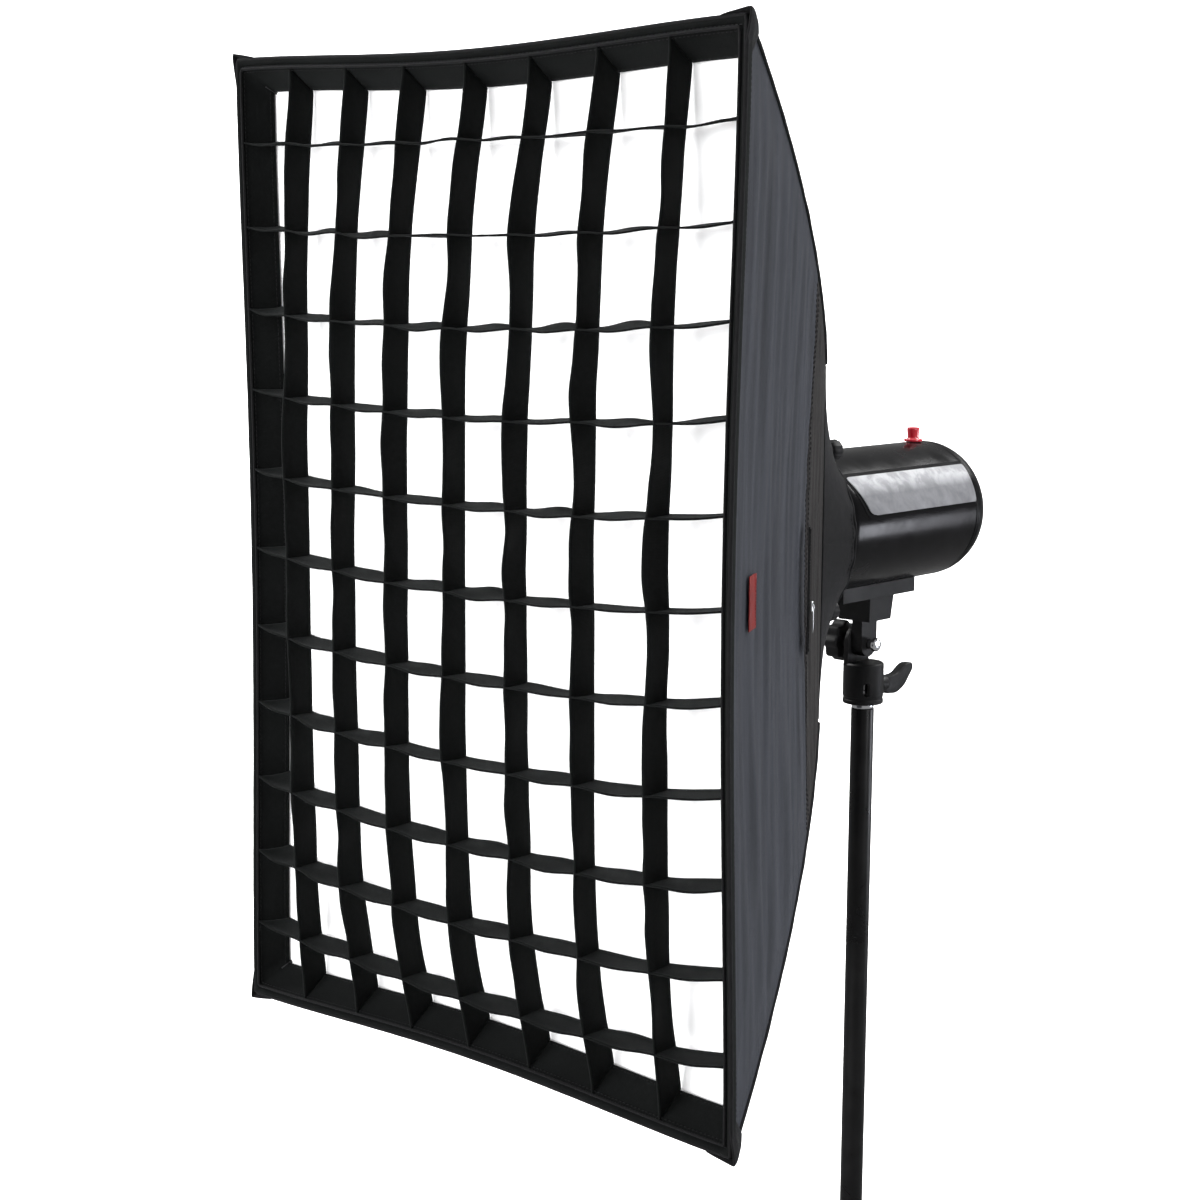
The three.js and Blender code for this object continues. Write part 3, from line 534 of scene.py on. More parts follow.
# ---- Softbox: shape of the cloth, repeated from the part ----
HALF_WIDTH, HALF_HEIGHT = 300.0, 450.0
CORNER_REACH = math.hypot(HALF_WIDTH, HALF_HEIGHT)
REAR_SHARE = 0.38
FULL_DEPTH = 721  # where the corner seams would meet
EDGE_PULL = 9  # how far the middle of a front side is drawn in
PANEL_LENGTH = 0.46
PANEL_SEAM = 0.57  # share of the front size where the front and rear cloths of a side panel join
SIDES = [(1, True), (-1, True), (1, False), (-1, False)]
CORNERS = [(1, 1), (-1, 1), (-1, -1), (1, -1)]


def seam_depth(reach):
    t = 1 - reach / CORNER_REACH
    return FULL_DEPTH * t - 214 * t**2 - 90 * t**8


def pull(w):
    return (1 - w * w) ** 2


def panel_surface(sign, upright, seed):
    """The outer face of a side panel with its wrinkles; the first number runs back and the second across."""

    def at(u, v):
        share = 1 - u * (1 - REAR_SHARE)
        y = seam_depth(CORNER_REACH * share)
        a, b = HALF_WIDTH * share, HALF_HEIGHT * share
        w = v * 2 - 1
        sag = (EDGE_PULL * (1 - u) + 5 * np.sin(np.pi * u)) * pull(w)
        fixed = (np.clip(1 - np.abs(w), 0, 1) * 6).clip(0, 1) * (np.clip(u, 0, 1) * 12).clip(0, 1)
        fixed = fixed * ((1 - u) * 12).clip(0, 1)
        length = w * b if upright else w * a
        streaks = ripple(u * 15 + 0.4 * w, length / 210, seed) + 0.5 * ripple(u * 34, length / 120, seed + 9)
        fans = ripple(np.arctan2(1 - np.abs(w) + 0.12, u + 0.1) * 9, u * 1.5,
                      seed + 4) * np.exp(-(1 - np.abs(w)) * 4)
        seam = np.exp(-(((share - PANEL_SEAM) / 0.006) ** 2))
        gather = ripple(length / 16, seed, 2.0) * np.exp(-(((share - PANEL_SEAM) / 0.03) ** 2))
        sag = sag + fixed * (0.6 - 3.1 * streaks - 1.6 * fans + 1.6 * seam - 0.9 * gather)
        if upright:
            return sign * (a - sag), y, w * b
        return w * a, y, sign * (b - sag)

    return at


for number, (sign, upright) in enumerate(SIDES):
    name = ("shell_right", "shell_left", "shell_top", "shell_bottom")[number]
    at = panel_surface(sign, upright, 3.7 * number + 1)
    rows, cols = 132, 96
    across = 0.9 if upright else 0.6
    thick = 0.9 if (sign > 0) == upright else -0.9
    points, faces, uv, kind = sheet_mesh(at, rows, cols, thick, False, (PANEL_LENGTH, across))
    # The rear band of each panel, behind the seam, takes the darker copy of the shell cloth as painted shade.
    first_rear = int((1 - PANEL_SEAM) / (1 - REAR_SHARE) * rows)
    for row in range(first_rear, rows):
        for col in range(cols):
            kind[row * cols + col] = 2
    panel = build(name + "_cloth", points, faces, [SHELL, LINING, SHELL_REAR_PAINTED_SHADE], kind, uv)
    piece(panel, name)


def panel_line(sign, upright, seed, share, count=160, lift=0.4):
    """Points across a side panel at one share of its depth, just proud of the cloth."""
    at = panel_surface(sign, upright, seed)
    v = np.linspace(0.02, 0.98, count)
    u = np.full(count, (1 - share) / (1 - REAR_SHARE))
    x, y, z = np.broadcast_arrays(*at(u, v))
    line = np.stack([x, y, z], -1)
    line[:, 0 if upright else 2] += sign * lift
    return line


# Two rows of stitches along the seam across each side panel, and one behind each front edge.
seams = []
for number, (sign, upright) in enumerate(SIDES):
    for share in (PANEL_SEAM + 0.011, PANEL_SEAM - 0.011, 0.985):
        seams.append(stitches(panel_line(sign, upright, 3.7 * number + 1, share), 4.6, 3.0, 0.42))
trim(made_of("shell_seam_stitches", seams, THREAD))

# Bound seam along each corner, over the pocket that holds the rod.
for number, (sx, sz) in enumerate(CORNERS):
    share = np.linspace(0.985, REAR_SHARE + 0.005, 60)
    wobble = 0.5 * ripple(share * 30, number, 5.0)
    x, z = sx * (HALF_WIDTH * share + wobble), sz * (HALF_HEIGHT * share + wobble)
    line = np.stack([x, seam_depth(CORNER_REACH * share), z], -1)
    bound = swept(line, 2.1, 10)
    trim(made_of(f"corner_binding_{number + 1}", [bound], BINDING))


# ---- Front hem ----
def rim(around, inset):
    """A point on the front rectangle, drawn in by `inset`, with its sides pulled in a little."""
    side = np.floor(around * 4 + 1e-9).astype(int) % 4
    w = (around * 4 - np.floor(around * 4 + 1e-9)) * 2 - 1
    a, b = HALF_WIDTH - inset, HALF_HEIGHT - inset * 1.5
    sag = EDGE_PULL * pull(w)
    x = np.select([side == 0, side == 1, side == 2], [a - sag, -w * a, sag - a], w * a)
    z = np.select([side == 0, side == 1, side == 2], [w * b, b - sag, -w * b], sag - b)
    return x, z


def rim_line(around, inset, depth):
    """Points round the front rectangle at one inset and depth."""
    x, z = rim(around, inset)
    return np.stack([x, np.full_like(x, depth), z], -1)


HEM = soften([(0.2, 6), (0.2, -2.2), (3, -2.4), (16.5, 25.5), (18.5, 27.5)], 1.8, 4)
HEM_INSET = np.array([p[0] for p in HEM])
HEM_DEPTH = np.array([p[1] for p in HEM])


def hem_surface(u, v):
    spot = u * (len(HEM) - 1)
    inset = np.interp(spot, np.arange(len(HEM)), HEM_INSET)
    depth = np.interp(spot, np.arange(len(HEM)), HEM_DEPTH)
    pucker = ripple(v * 170, u * 2, 8.0) * np.sin(np.pi * np.clip(u, 0, 1)) * 0.7
    x, z = rim(v, inset + pucker * 0.5)
    return x, depth + pucker, z


hem = cloth_piece("front_hem_cloth", hem_surface, len(HEM) - 1, 320, -1.4, [WEBBING, LINING], True,
                  (0.05, 2.95))
piece(hem, "front_hem")

around = np.linspace(0, 1, 900)
hem_threads = []
for inset in (4.6, 14.5):
    y = np.interp(inset, HEM_INSET[5:], HEM_DEPTH[5:]) - 0.5
    hem_threads.append(stitches(rim_line(around, inset, y), 4.2, 2.8, 0.36))
trim(made_of("front_hem_stitches", hem_threads, THREAD))

x, z = rim(np.linspace(0, 1, 600), 0.4)
piping = swept(np.stack([x, np.full_like(x, -0.6) + 0.3 * ripple(x / 25, z / 25, 3.0), z], -1), 2.0, 10)
trim(made_of("front_piping", [piping], BINDING))

# Pointed pocket over the tip of each rod, folded round the corner and bound at its edge.
for number, (sx, sz) in enumerate(CORNERS):

    def pocket(u, v, sx=sx, sz=sz):
        turn = (v - 0.5) * 2
        reach = 24 * np.abs(turn)
        arch = np.sin(np.pi * (u * 0.75 + 0.2).clip(0, 1))
        proud = 1.4 - 2.6 * turn**2 + 3.2 * (1 - np.abs(turn)) ** 1.6 * arch
        a, b = HALF_WIDTH + proud, HALF_HEIGHT + proud
        bulge = 0.5 * ripple(u * 3, v * 4, 2.0 + sx)
        y = -2.6 + 24 * u * (1 - 0.55 * np.abs(turn))
        shrink = HALF_WIDTH * y / FULL_DEPTH
        x = np.where(turn < 0, a - reach, a + bulge)
        z = np.where(turn > 0, b - reach, b + bulge)
        return sx * (x - shrink), y, sz * (z - shrink * 1.5)

    facing = 1 if sx * sz > 0 else -1
    cover = cloth_piece(f"corner_pocket_{number + 1}", pocket, 14, 32, 1.1 * facing, BINDING, False,
                        (0.03, 0.06))
    trim(cover)

# ---- Diffuser and baffle ----
FRONT_FACE = 29.0
BAFFLE_FACE = 215


def diffuser_surface(u, v):
    w, t = u * 2 - 1, v * 2 - 1
    a, b = HALF_WIDTH - 17, HALF_HEIGHT - 25.5
    x, z = t * (a - EDGE_PULL * pull(w)), -w * (b - EDGE_PULL * pull(t))
    edge = ((1 - np.abs(t)) * 9).clip(0, 1) * ((1 - np.abs(w)) * 9).clip(0, 1)
    loose = 0.8 + 1.9 * np.exp(-(((x - 225) / 60) ** 2)) + 0.6 * np.exp(-(((x + 240) / 50) ** 2))
    drops = ripple(x / 34, z / 260, 1.0) * loose
    swags = ripple((x + z * 0.5) / 60, (z - x * 0.3) / 38, 6.0) * 2.2 * (w > 0) * w**2
    belly = -3.0 * (1 - t * t) * (1 - w * w)
    return x, FRONT_FACE + edge * (belly + 1.3 * drops + swags), z


diffuser = cloth_piece("front_diffuser_cloth", diffuser_surface, 180, 130, 0.7, DIFFUSER_PAINTED_GLOW, False, (0.83, 0.56))
piece(diffuser, "front_diffuser")

baffle_low, baffle_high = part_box("inner_baffle")
baffle_half = [(baffle_high[k] - baffle_low[k]) * 500 for k in (0, 2)]


def baffle_surface(u, v):
    w, t = u * 2 - 1, v * 2 - 1
    hang = 1.6 * ripple(t * 5, w * 2, 4.0) - 5 * (1 - t * t) * (1 - w * w)
    drawn = 7 * (1 - np.abs(w) ** 1.5) * t
    x = t * baffle_half[0] - drawn
    z = -w * baffle_half[1] + 5 * w * (1 - t * t)
    return x, BAFFLE_FACE + hang * (1 - t**6), z


baffle = cloth_piece("inner_baffle_cloth", baffle_surface, 70, 50, 0.7, DIFFUSER_PAINTED_GLOW, False, (0.54, 0.36))
piece(baffle, "inner_baffle")


# ---- Egg-crate grid ----
PITCH = 75.0
STRIP_DEPTH = 30.0
STRIP_RUN = STRIP_DEPTH * 0.93  # how far back a strip reaches as it hangs
GRID_FRONT = -1.2
BAND_INSET, BAND_WIDTH = 5.6, 13.4


def belly(x, z):
    """How far the limp grid hangs forward of its frame, in mm."""
    u, w = x / HALF_WIDTH, z / HALF_HEIGHT
    upper = (1 - np.abs(w / 0.95).clip(0, 1) ** 2.6) ** 0.75
    lower = (1 - np.abs(w / 0.97).clip(0, 1) ** 3.4) ** 0.75
    across = (1 - 0.65 * np.abs(u - 0.15) ** 2.4) * (1 - np.abs(u).clip(0, 1) ** 8)
    return 28.0 * np.where(w > 0, upper, lower) * across


def droop(x, z):
    """How far the grid's crossings sink between the frame's sides, in mm."""
    u, w = x / HALF_WIDTH, z / HALF_HEIGHT
    return (6.5 + 10.5 * (1 - u * u)) * (1 - np.abs(w).clip(0, 1) ** 5)


def band(u, v):
    inset = BAND_INSET + BAND_WIDTH * u + 0.8 * ripple(v * 60, u * 1.5, 11.0) * np.sin(np.pi * u.clip(0, 1))
    x, z = rim(v, inset)
    return x, GRID_FRONT - 0.4 + STRIP_RUN * u, z


border = cloth_piece("grid_border", band, 12, 320, -1.5, WEBBING, True, (0.036, 2.8))
piece(border, "egg_crate_grid")
border_threads = []
for inset in (7.0, 17.6):
    y = GRID_FRONT + STRIP_RUN * (inset - BAND_INSET) / BAND_WIDTH - 1.2
    border_threads.append(stitches(rim_line(around, inset + 0.9, y), 4.2, 2.8, 0.36))
border_threads.append(swept(rim_line(np.linspace(0, 1, 600), 6.0, GRID_FRONT - 0.6), 1.2, 8))
trim(made_of("grid_border_binding", border_threads, BINDING))


def strip_edges(offset, upright):
    """Half length of a strip at its front and back edges."""
    ends = []
    for inset in (5.6, 19.0):
        a, b = HALF_WIDTH - inset, HALF_HEIGHT - inset * 1.5
        sag = EDGE_PULL * (1 - (offset / (a if upright else b)) ** 2) ** 2
        ends.append((b if upright else a) - sag - 0.8)
    return ends


def strip_thickness(u, v):
    return 0.9 + 0.9 * (np.exp(-((u / 0.07) ** 2)) + np.exp(-(((1 - u) / 0.07) ** 2)))


def grid_strip(name, offset, upright, seed):
    front, back = strip_edges(offset, upright)

    def at(u, v):
        half = front + (back - front) * u
        s = (v * 2 - 1) * half
        free = (1 - np.abs(v * 2 - 1) ** 10) if upright else (1 - np.abs(v * 2 - 1) ** 14)
        loose = 1 - 0.72 * u
        if upright:
            x = np.full_like(s, offset)
            wave = ripple(s / 88, u * 0.5, seed) * 7.0 + ripple(s / 34, u * 0.6, seed + 3) * 2.2
            x = x + free * loose * wave - 2.0 * belly(x, s) / 28
            y = GRID_FRONT + STRIP_RUN * u - belly(x, s) * free
            z = s - droop(x, s) * 0.5 * free
            return x, y, z
        x = s
        between = np.sin(np.pi * ((s / PITCH) % 1.0)) ** 2
        lift = 0.8 + 1.5 * ripple(np.floor(s / PITCH) * 0.63 + 0.4, seed, 6.5)
        z = offset - droop(x, offset + 0 * s) + (1 - 0.5 * free) * 3
        z = z + between * (lift * 4.2 * (u - 0.35) - 0.5) + free * ripple(s / 60, u * 0.7, seed) * 1.8
        y = GRID_FRONT + STRIP_RUN * u - belly(x, z) * free - 2.0 * between * (1 - u)
        return x, y, z

    length = (2 * front + 2 * back) / 2000
    strip = cloth_piece(name, at, 10, int(length * 330), strip_thickness, WEBBING, False, (0.030, length))
    trim(strip)


for k in range(7):
    grid_strip(f"grid_upright_{k + 1}", (k - 3) * PITCH, True, 1.37 * k + 0.5)
for k in range(11):
    grid_strip(f"grid_crosser_{k + 1}", (5 - k) * PITCH, False, 2.11 * k + 20.5)


# ---- Rear collar ----
COLLAR_END = 112.0  # its place along the corner seam
PUCKERS = 26


def collar_surface(u, v):
    angle = 2 * np.pi * v
    c, s = np.cos(angle), np.sin(angle)
    edge = np.minimum(HALF_WIDTH * REAR_SHARE / np.maximum(np.abs(c), 1e-9),
                      HALF_HEIGHT * REAR_SHARE / np.maximum(np.abs(s), 1e-9))
    start = CORNER_REACH * REAR_SHARE
    folds = u**1.5 * (0.9 * np.sin(v * 2 * np.pi * PUCKERS + 0.8 * np.sin(v * 31))
                      + 0.8 * ripple(v * 40, u * 2, 2.0))
    reach = edge * (1 - u) + 110 * u + 0.35 * folds
    return reach * c, seam_depth(start + (COLLAR_END - start) * u) + 1 + folds, reach * s


collar = cloth_piece("rear_collar_cloth", collar_surface, 30, 416, 1.0, [BINDING, LINING], True, (0.11, 1.0))
piece(collar, "rear_collar")


def collar_ring(radius, lift):
    """A puckered circle round the collar's end."""
    ring = np.linspace(0, 2 * np.pi, 261)
    depth = seam_depth(COLLAR_END) + lift + 0.6 * np.sin(ring * PUCKERS)
    return np.stack([radius * np.cos(ring), depth, radius * np.sin(ring)], -1)


hem_threads = stitches(collar_ring(111, -5), 4.4, 2.8, 0.4)
elastic = made_of("rear_collar_elastic", [swept(collar_ring(109, 1), 2.0, 12), hem_threads], BINDING)
trim(elastic)

# ---- Vent zip and side tag, on the right panel ----
ZIP_SHARE = 0.6
ZIP_FROM, ZIP_TO, ZIP_SLIDER = -80.0, 30.0, -40.0


def at_zip(part, share=ZIP_SHARE, inset=1.6, turn=0.66):
    """Moves a part drawn along Z, facing +X, to the right panel at a share of its depth."""
    return moved(part, (HALF_WIDTH * share - inset, seam_depth(CORNER_REACH * share), 0),
                 Matrix.Rotation(turn, 4, "Z"))


def tape(side):
    outline = [(-0.3, side * 0.4), (0.9, side * 0.4), (0.9, side * 6.6), (0.2, side * 7.2),
               (-0.3, side * 7.2)]
    heights = np.linspace(ZIP_FROM - 3, ZIP_TO + 3, 60)
    points = np.array([(a, b + 0.15 * math.sin(h * 0.9), h) for h in heights for a, b in outline])
    count = len(outline)
    return points, bands(len(heights), count) + end_faces(len(heights), count), points[:, 1:] / 1000


tapes = [at_zip(tape(side)) for side in (1, -1)]
tape_threads = [at_zip(stitches([(1.1, side * 5.6, ZIP_FROM), (1.1, side * 5.6, ZIP_TO)], 3.4, 2.2, 0.3))
                for side in (1, -1)]
zip_tape = made_of("vent_zip_tape", [*tapes, *tape_threads], BINDING)
piece(zip_tape, "vent_zip")
teeth = []
for k, height in enumerate(np.arange(ZIP_FROM + 2, ZIP_TO - 1, 1.35)):
    side = 1 if k % 2 else -1
    teeth.append(at_zip(rounded_box((0.7, 2.1), sorted((side * -0.5, side * 2.0)),
                                    (height - 0.5, height + 0.5), 0.3)))
for height in (ZIP_FROM, ZIP_TO - 0.6):
    teeth.append(at_zip(rounded_box((0.7, 2.3), (-2.4, 2.4), (height - 1.4, height + 1.4), 0.5)))
trim(made_of("vent_zip_teeth", teeth, MOULDED))

body = slab(soften([(-3.4, -5), (3.4, -5), (2.6, 0.5), (3.4, 5), (-3.4, 5), (-2.6, 0.5)], 1.4, 4, True),
            2.5, 5.0, 0.7, "x")
hoop = swept([(4.6 + 1.3 * math.sin(t), 0, -1.5 + 3.2 * math.cos(t))
              for t in np.linspace(0.1, math.pi - 0.1, 14)], 0.7, 8)
pull_tab = slab(soften([(-2.6, -24), (2.6, -24), (2.1, -4), (-2.1, -4)], 1.8, 5, True), 4.4, 5.6, 0.5, "x")
lifted = [at_zip(moved(part, (0, 0, ZIP_SLIDER))) for part in (body, hoop, pull_tab)]
piece(made_of("zip_slider_pull", lifted, CHROME), "zip_slider")

TAG_FROM, TAG_TO, TAG_WIDE = -28.0, 17.0, 24.0
TAG_SHARE = 1 - 61 / FULL_DEPTH
PANEL_SLOPE = 0.41  # turn of the panel's face about Z at the tag, in radians


def on_tag(across, height, lift):
    """A point of the tag: mm across from its middle, height, and mm proud of the panel's wrinkled face."""
    share = TAG_SHARE - across / 748
    u, v = (1 - share) / (1 - REAR_SHARE), (height / (HALF_HEIGHT * share) + 1) / 2
    x, y, z = np.broadcast_arrays(*panel_surface(1, True, 1.0)(u, v))
    return x + lift * math.cos(PANEL_SLOPE), y + lift * math.sin(PANEL_SLOPE), z


def tag_surface(u, v):
    curl = 0.35 * ripple(u * 2, v * 5, 3.0) + 0.5 * np.cos(u * 5.0)
    return on_tag((u - 0.5) * TAG_WIDE, TAG_FROM + (TAG_TO - TAG_FROM) * v, 1.6 + curl)


tag = cloth_piece("side_tag_cloth", tag_surface, 16, 40, -0.8, RED_CLOTH, False, (0.024, 0.045))
piece(tag, "side_tag")
heights = np.linspace(TAG_FROM + 2, TAG_TO - 2, 12)
tag_threads = [stitches(np.stack(on_tag(np.full(12, b), heights, 2.6), -1), 3, 2, 0.3) for b in (-10.4, 10.4)]
trim(made_of("side_tag_stitches", tag_threads, RED_CLOTH))

# ---- Speed ring and its rod locks ----
KNOB = soften([(0, 427), (3, 427), (3, 444.4), (5, 444.4), (5, 449.4), (9.5, 451.4), (10.5, 454.4),
               (10.5, 463.4), (8, 466.4),
               (0.01, 466.4)], 1.0, 3)
for number, (sx, sz) in enumerate(CORNERS):
    grip = turned(KNOB, "y", 72, ribs(KNOB, 0.035, 12, 7))
    angle = -math.atan2(sz * HALF_HEIGHT, sx * HALF_WIDTH)
    placed = moved(moved(grip, (98, 0, 0)), turn=Matrix.Rotation(angle, 4, "Y"))
    piece(made_of(f"rod_lock_grip_{number + 1}", [placed], MOULDED, 50), f"rod_lock_knob_{number + 1}")
FLANGE = soften([(50.5, 450), (68, 450), (70, 453), (70, 461), (66, 465.6), (57, 465.6), (57, 456.5),
                 (50.5, 456.5)], 1.0, 3, True)
flange = lathe("front_flange_ring", [*FLANGE, FLANGE[0]], ALLOY)
piece(flange, "front_flange")

# ---- Flash head ----
HEAD_RADIUS, BODY_END = 74.0, 704.0
outer = soften([(0.01, 466), (64, 466), (70.5, 469.5), (74, 480), (74, 700)], 7, 8)
outer = [p for p in outer if p[1] < 699]


def groove(y):
    """A shallow ring cut round the housing."""
    return [(74, y - 1.2), (73.7, y - 0.7), (73.1, y - 0.6), (73.1, y + 0.6), (73.7, y + 0.7), (74, y + 1.2)]


shell_line = [*outer, *groove(700.2), (74, 703.4), (73.6, 704), (71, 704), (71, 480), (62, 471), (0.01, 471)]
housing = lathe("head_body", shell_line, GLOSS, steps=160, sharp=30)
piece(housing, "head_housing")
BEZEL = soften([(55.2, 704.4), (74, 704.4), (73.4, 711), (70.5, 719.5), (64.5, 726.5), (58, 729),
                (55.2, 729)], 2.2, 6, True)
piece(lathe("head_bezel", [*BEZEL, BEZEL[0]], GLOSS, steps=160, sharp=30), "rear_bezel")

PLATE_LOW, PLATE_HIGH = math.radians(10), math.radians(44)


def badge(sign, radius, grow, corner):
    """A patch on the side of the housing: a slanted front end, rounded corners, `grow` mm past the plate."""
    low, high = PLATE_LOW - grow / 74, PLATE_HIGH + grow / 74

    def at(u, v):
        angle = low + (high - low) * u
        gap = np.minimum(u, 1 - u) * (high - low) * 74
        cut = corner - np.sqrt(np.maximum(corner**2 - np.maximum(corner - gap, 0) ** 2, 0))
        front = 482 + 22 * (1 - u) - grow + cut * np.where(u < 0.5, 1.9, 1.0)
        rear = BODY_END - 5.5 + 0.35 * grow - cut * 0.4
        edge = np.minimum(np.minimum(v, 1 - v) * 160, gap) if grow == 0 else 9
        r = radius - 0.5 * np.exp(-np.maximum(edge, 0) / 0.8)
        return sign * r * np.cos(angle), front + (rear - front) * v, r * np.sin(angle)

    return at


# Round each plate, a matte black band just proud of the housing is painted shadow for the groove round the
# plate; the plate lies on top.
for sign, side in ((1, "right"), (-1, "left")):
    groove_shadow = cloth_piece(f"badge_groove_shadow_{side}", badge(sign, HEAD_RADIUS + 0.35, 5.0, 9), 40, 60,
                         0.6 * -sign, RECESS_PAINTED_SHADOW,
                         False, (0.05, 0.2), 40)
    piece(groove_shadow, body="head")
    plate = cloth_piece(f"badge_{side}", badge(sign, HEAD_RADIUS + 1.8, 0.0, 5), 48, 90, 1.2 * -sign,
                        SILVER, False,
                        (0.044, 0.21), 40)
    piece(plate, f"badge_plate_{side}")

CAP = soften([(0.01, 74.4), (10, 74.4), (10, 76.9), (6.6, 77.6), (6.1, 79), (7, 88), (6.4, 89.6),
              (0.01, 90.2)], 1.0, 4)
piece(lathe("sensor_cap", CAP, RED_CAP, "z", (0, 684, 0), 48), "slave_sensor")

# Rear panel: pointer dial with its ring of marks, button and indicators.
DIAL = soften([(0.01, 722.4), (14, 722.4), (13.4, 726), (12.2, 734), (11, 735), (0.01, 735)], 0.8, 3)
dial = moved(turned(DIAL, "y", 96, lambda ring, k: 0.03 * np.cos(24 * ring) * (724 < DIAL[k][1] < 734.2)),
             (0, 0, 22))
pointer = moved(rounded_box((-1, 1), (733.6, 736), (2, 11.5), 0.4), (0, 0, 22))
dial_object = made_of("power_dial_grip", [dial, pointer], [MOULDED, WHITE_MARK])
for polygon in dial_object.data.polygons:
    if polygon.center.y * 1000 - AXIS[1] * 1000 > 735.2:
        polygon.material_index = 1
piece(dial_object, "power_dial")
marks = []
for k in range(11):
    angle = math.radians(-150 + 30 * k)
    mark = rounded_box((-0.5, 0.5), (721.8, 722.25), (16.8, 19.6 if k % 5 else 20.8), 0.15)
    marks.append(moved(moved(mark, turn=Matrix.Rotation(angle, 4, "Y")), (0, 0, 22)))
for middle in (-21.6, 21.6):
    marks.append(rounded_box((middle - 4, middle + 4), (721.8, 722.2), (-7.4, -6.6), 0.15))
piece(made_of("panel_marks", marks, WHITE_MARK), body="head")
LED = soften([(0.01, 721.5), (2.2, 721.5), (2.2, 723.2), (1.3, 724.6), (0.01, 724.9)], 0.6, 3)
lamp = [moved(turned(LED, "y", 24), (x, 0, -4)) for x in (-34, 34)]
piece(made_of("panel_lamps", lamp, GREEN_LAMP), body="head")
SCREW = soften([(0.01, 721.6), (3.1, 721.6), (3.1, 722.8), (2.2, 723.6), (0.01, 723.7)], 0.5, 3)
screws = [moved(turned(SCREW, "y", 24), (48 * math.cos(a), 0, 48 * math.sin(a)))
          for a in np.radians([20, 160, 228, 312])]
screw_object = made_of("panel_screws", screws, CHROME)
piece(screw_object, body="head")
BUTTON = soften([(0.01, 711), (5, 711), (5, 724.6), (3.8, 725.6), (0.01, 725.3)], 0.8, 4)
piece(lathe("test_button_cap", BUTTON, MOULDED, "y", (-22, 0, -16), 40), "test_button")
rocker = slab(rectangle((11, 31), (-24.6, -13.4), 1.0), 712, 723.3, 0.8, "y")
dip = rounded_box((12.5, 20), (722.6, 723.9), (-23.4, -14.6), 0.6)
piece(made_of("rocker_cap", [rocker, dip], RED_SWITCH), "power_switch")

# Flash tube and lamp behind the baffle.
arc = np.linspace(math.radians(-80), math.radians(260), 60)
tube_line = np.stack([29 * np.cos(arc), np.full_like(arc, 447), 29 * np.sin(arc)], -1)
stems = [swept([(x, 446, 0), (x, 456, 0), (x, 465.4, 0)], 3.2, 16) for x in (-29, 29)]
piece(made_of("flash_tube_glass", [swept(tube_line, 3.4, 16), *stems], GLASS), "flash_tube")
BULB = soften([(0.01, 418), (8, 420), (13, 428), (13, 436), (8, 446), (8, 465.6), (0.01, 465.6)], 3.5, 6)
piece(lathe("modelling_lamp_glass", BULB, GLASS, "y", steps=48), "modelling_lamp")

# ---- Bracket ----
DROP = 139.0
LEVER_DROP = 188
barrel = soften([(8.4, -162), (8.4, -203.4), (9.4, -204), (21.2, -204), (22, -203.2), (22, -199.6),
                 (21.4, -199), (21.4, -196.6),
                 (22, -196), (22, -161), (20.5, -159.2), (8.0, -159)], 0.4, 3)
barrel = turned([*barrel, (0.01, -159), (0.01, -162), barrel[0]], "z", 96)
cheeks = []
for low in (-12.5, 7.0):
    dome = [(20 * math.sin(t), -DROP + 20 * math.cos(t)) for t in np.linspace(-math.pi / 2, math.pi / 2, 28)]
    foot = [(20, -DROP - 23), (-20, -DROP - 23)]
    cheeks.append(slab([*dome, *foot], low, low + 5.5, 1.0, "x"))
receiver = made_of("receiver_casting", [barrel, *cheeks], CAST, 32, MOUNT)
slot_cutter = made_of("slot_cutter", [slab(rectangle((-3, 3), (-194, -180), 2.9, 6), 5, 30, 0.1, "y")],
                      CAST, None, MOUNT)
slot_cutter.data.transform(Matrix.Translation(MOUNT) @ turn_about("Z", -135) @ Matrix.Translation(-MOUNT))
carve(receiver, slot_cutter)
piece(receiver, "stand_receiver")
BOLT = soften([(0.01, 13), (7.5, 13), (7.5, 16.5), (5.4, 18.8), (0.01, 19.2)], 0.9, 4)
bolt = moved(turned([(0.01, -18), (5, -18), (5, 13)], "x", 40), (0, 0, -DROP))
bolt_head = moved(turned(BOLT, "x", 48), (0, 0, -DROP))
slot_bar = moved(rounded_box((18.4, 19.4), (-5.2, 5.2), (-0.7, 0.7), 0.3), (0, 0, -DROP))
piece(made_of("pivot_bolt_head", [bolt, bolt_head, slot_bar], CHROME, 35, MOUNT), "pivot_bolt")

GRIP = soften([(0.01, -18.4), (9, -18.4), (9, -22), (20, -22), (21, -24), (21, -38), (18.5, -40),
               (0.01, -40)], 1.3, 4)
grip = turned(GRIP, "x", 144, ribs(GRIP, 0.075, 8, 15))
piece(build("tilt_grip", *moved(grip, (0, 0, -DROP))[:2], MOULDED, None, grip[2], 40, MOUNT), "tilt_knob")

wing = soften([(34, -11), (58, -14), (74, -7), (89, 11), (88, 17), (76, 18), (57, 8), (34, 7)], 6, 5, True)
wing = slab(wing, -5.5, 5.5, 2.6, "x")
stem = turned(soften([(0.01, 9), (4, 9), (4, 24), (8, 24), (9.6, 27), (9.6, 36), (7, 41), (0.01, 42)], 1.0,
                     4), "y", 40)
threads = [turned([(3.9, y - 0.35), (4.35, y), (3.9, y + 0.35)], "y", 28) for y in np.arange(10.5, 24, 1.25)]
lever = made_of("clamp_wing", [moved(p, (0, 0, -LEVER_DROP)) for p in (wing, stem)], CAST, 40, MOUNT)
piece(lever, "clamp_lever")
piece(made_of("clamp_thread", [moved(p, (0, 0, -LEVER_DROP)) for p in threads], CHROME, 40, MOUNT),
      body="stand_lock")

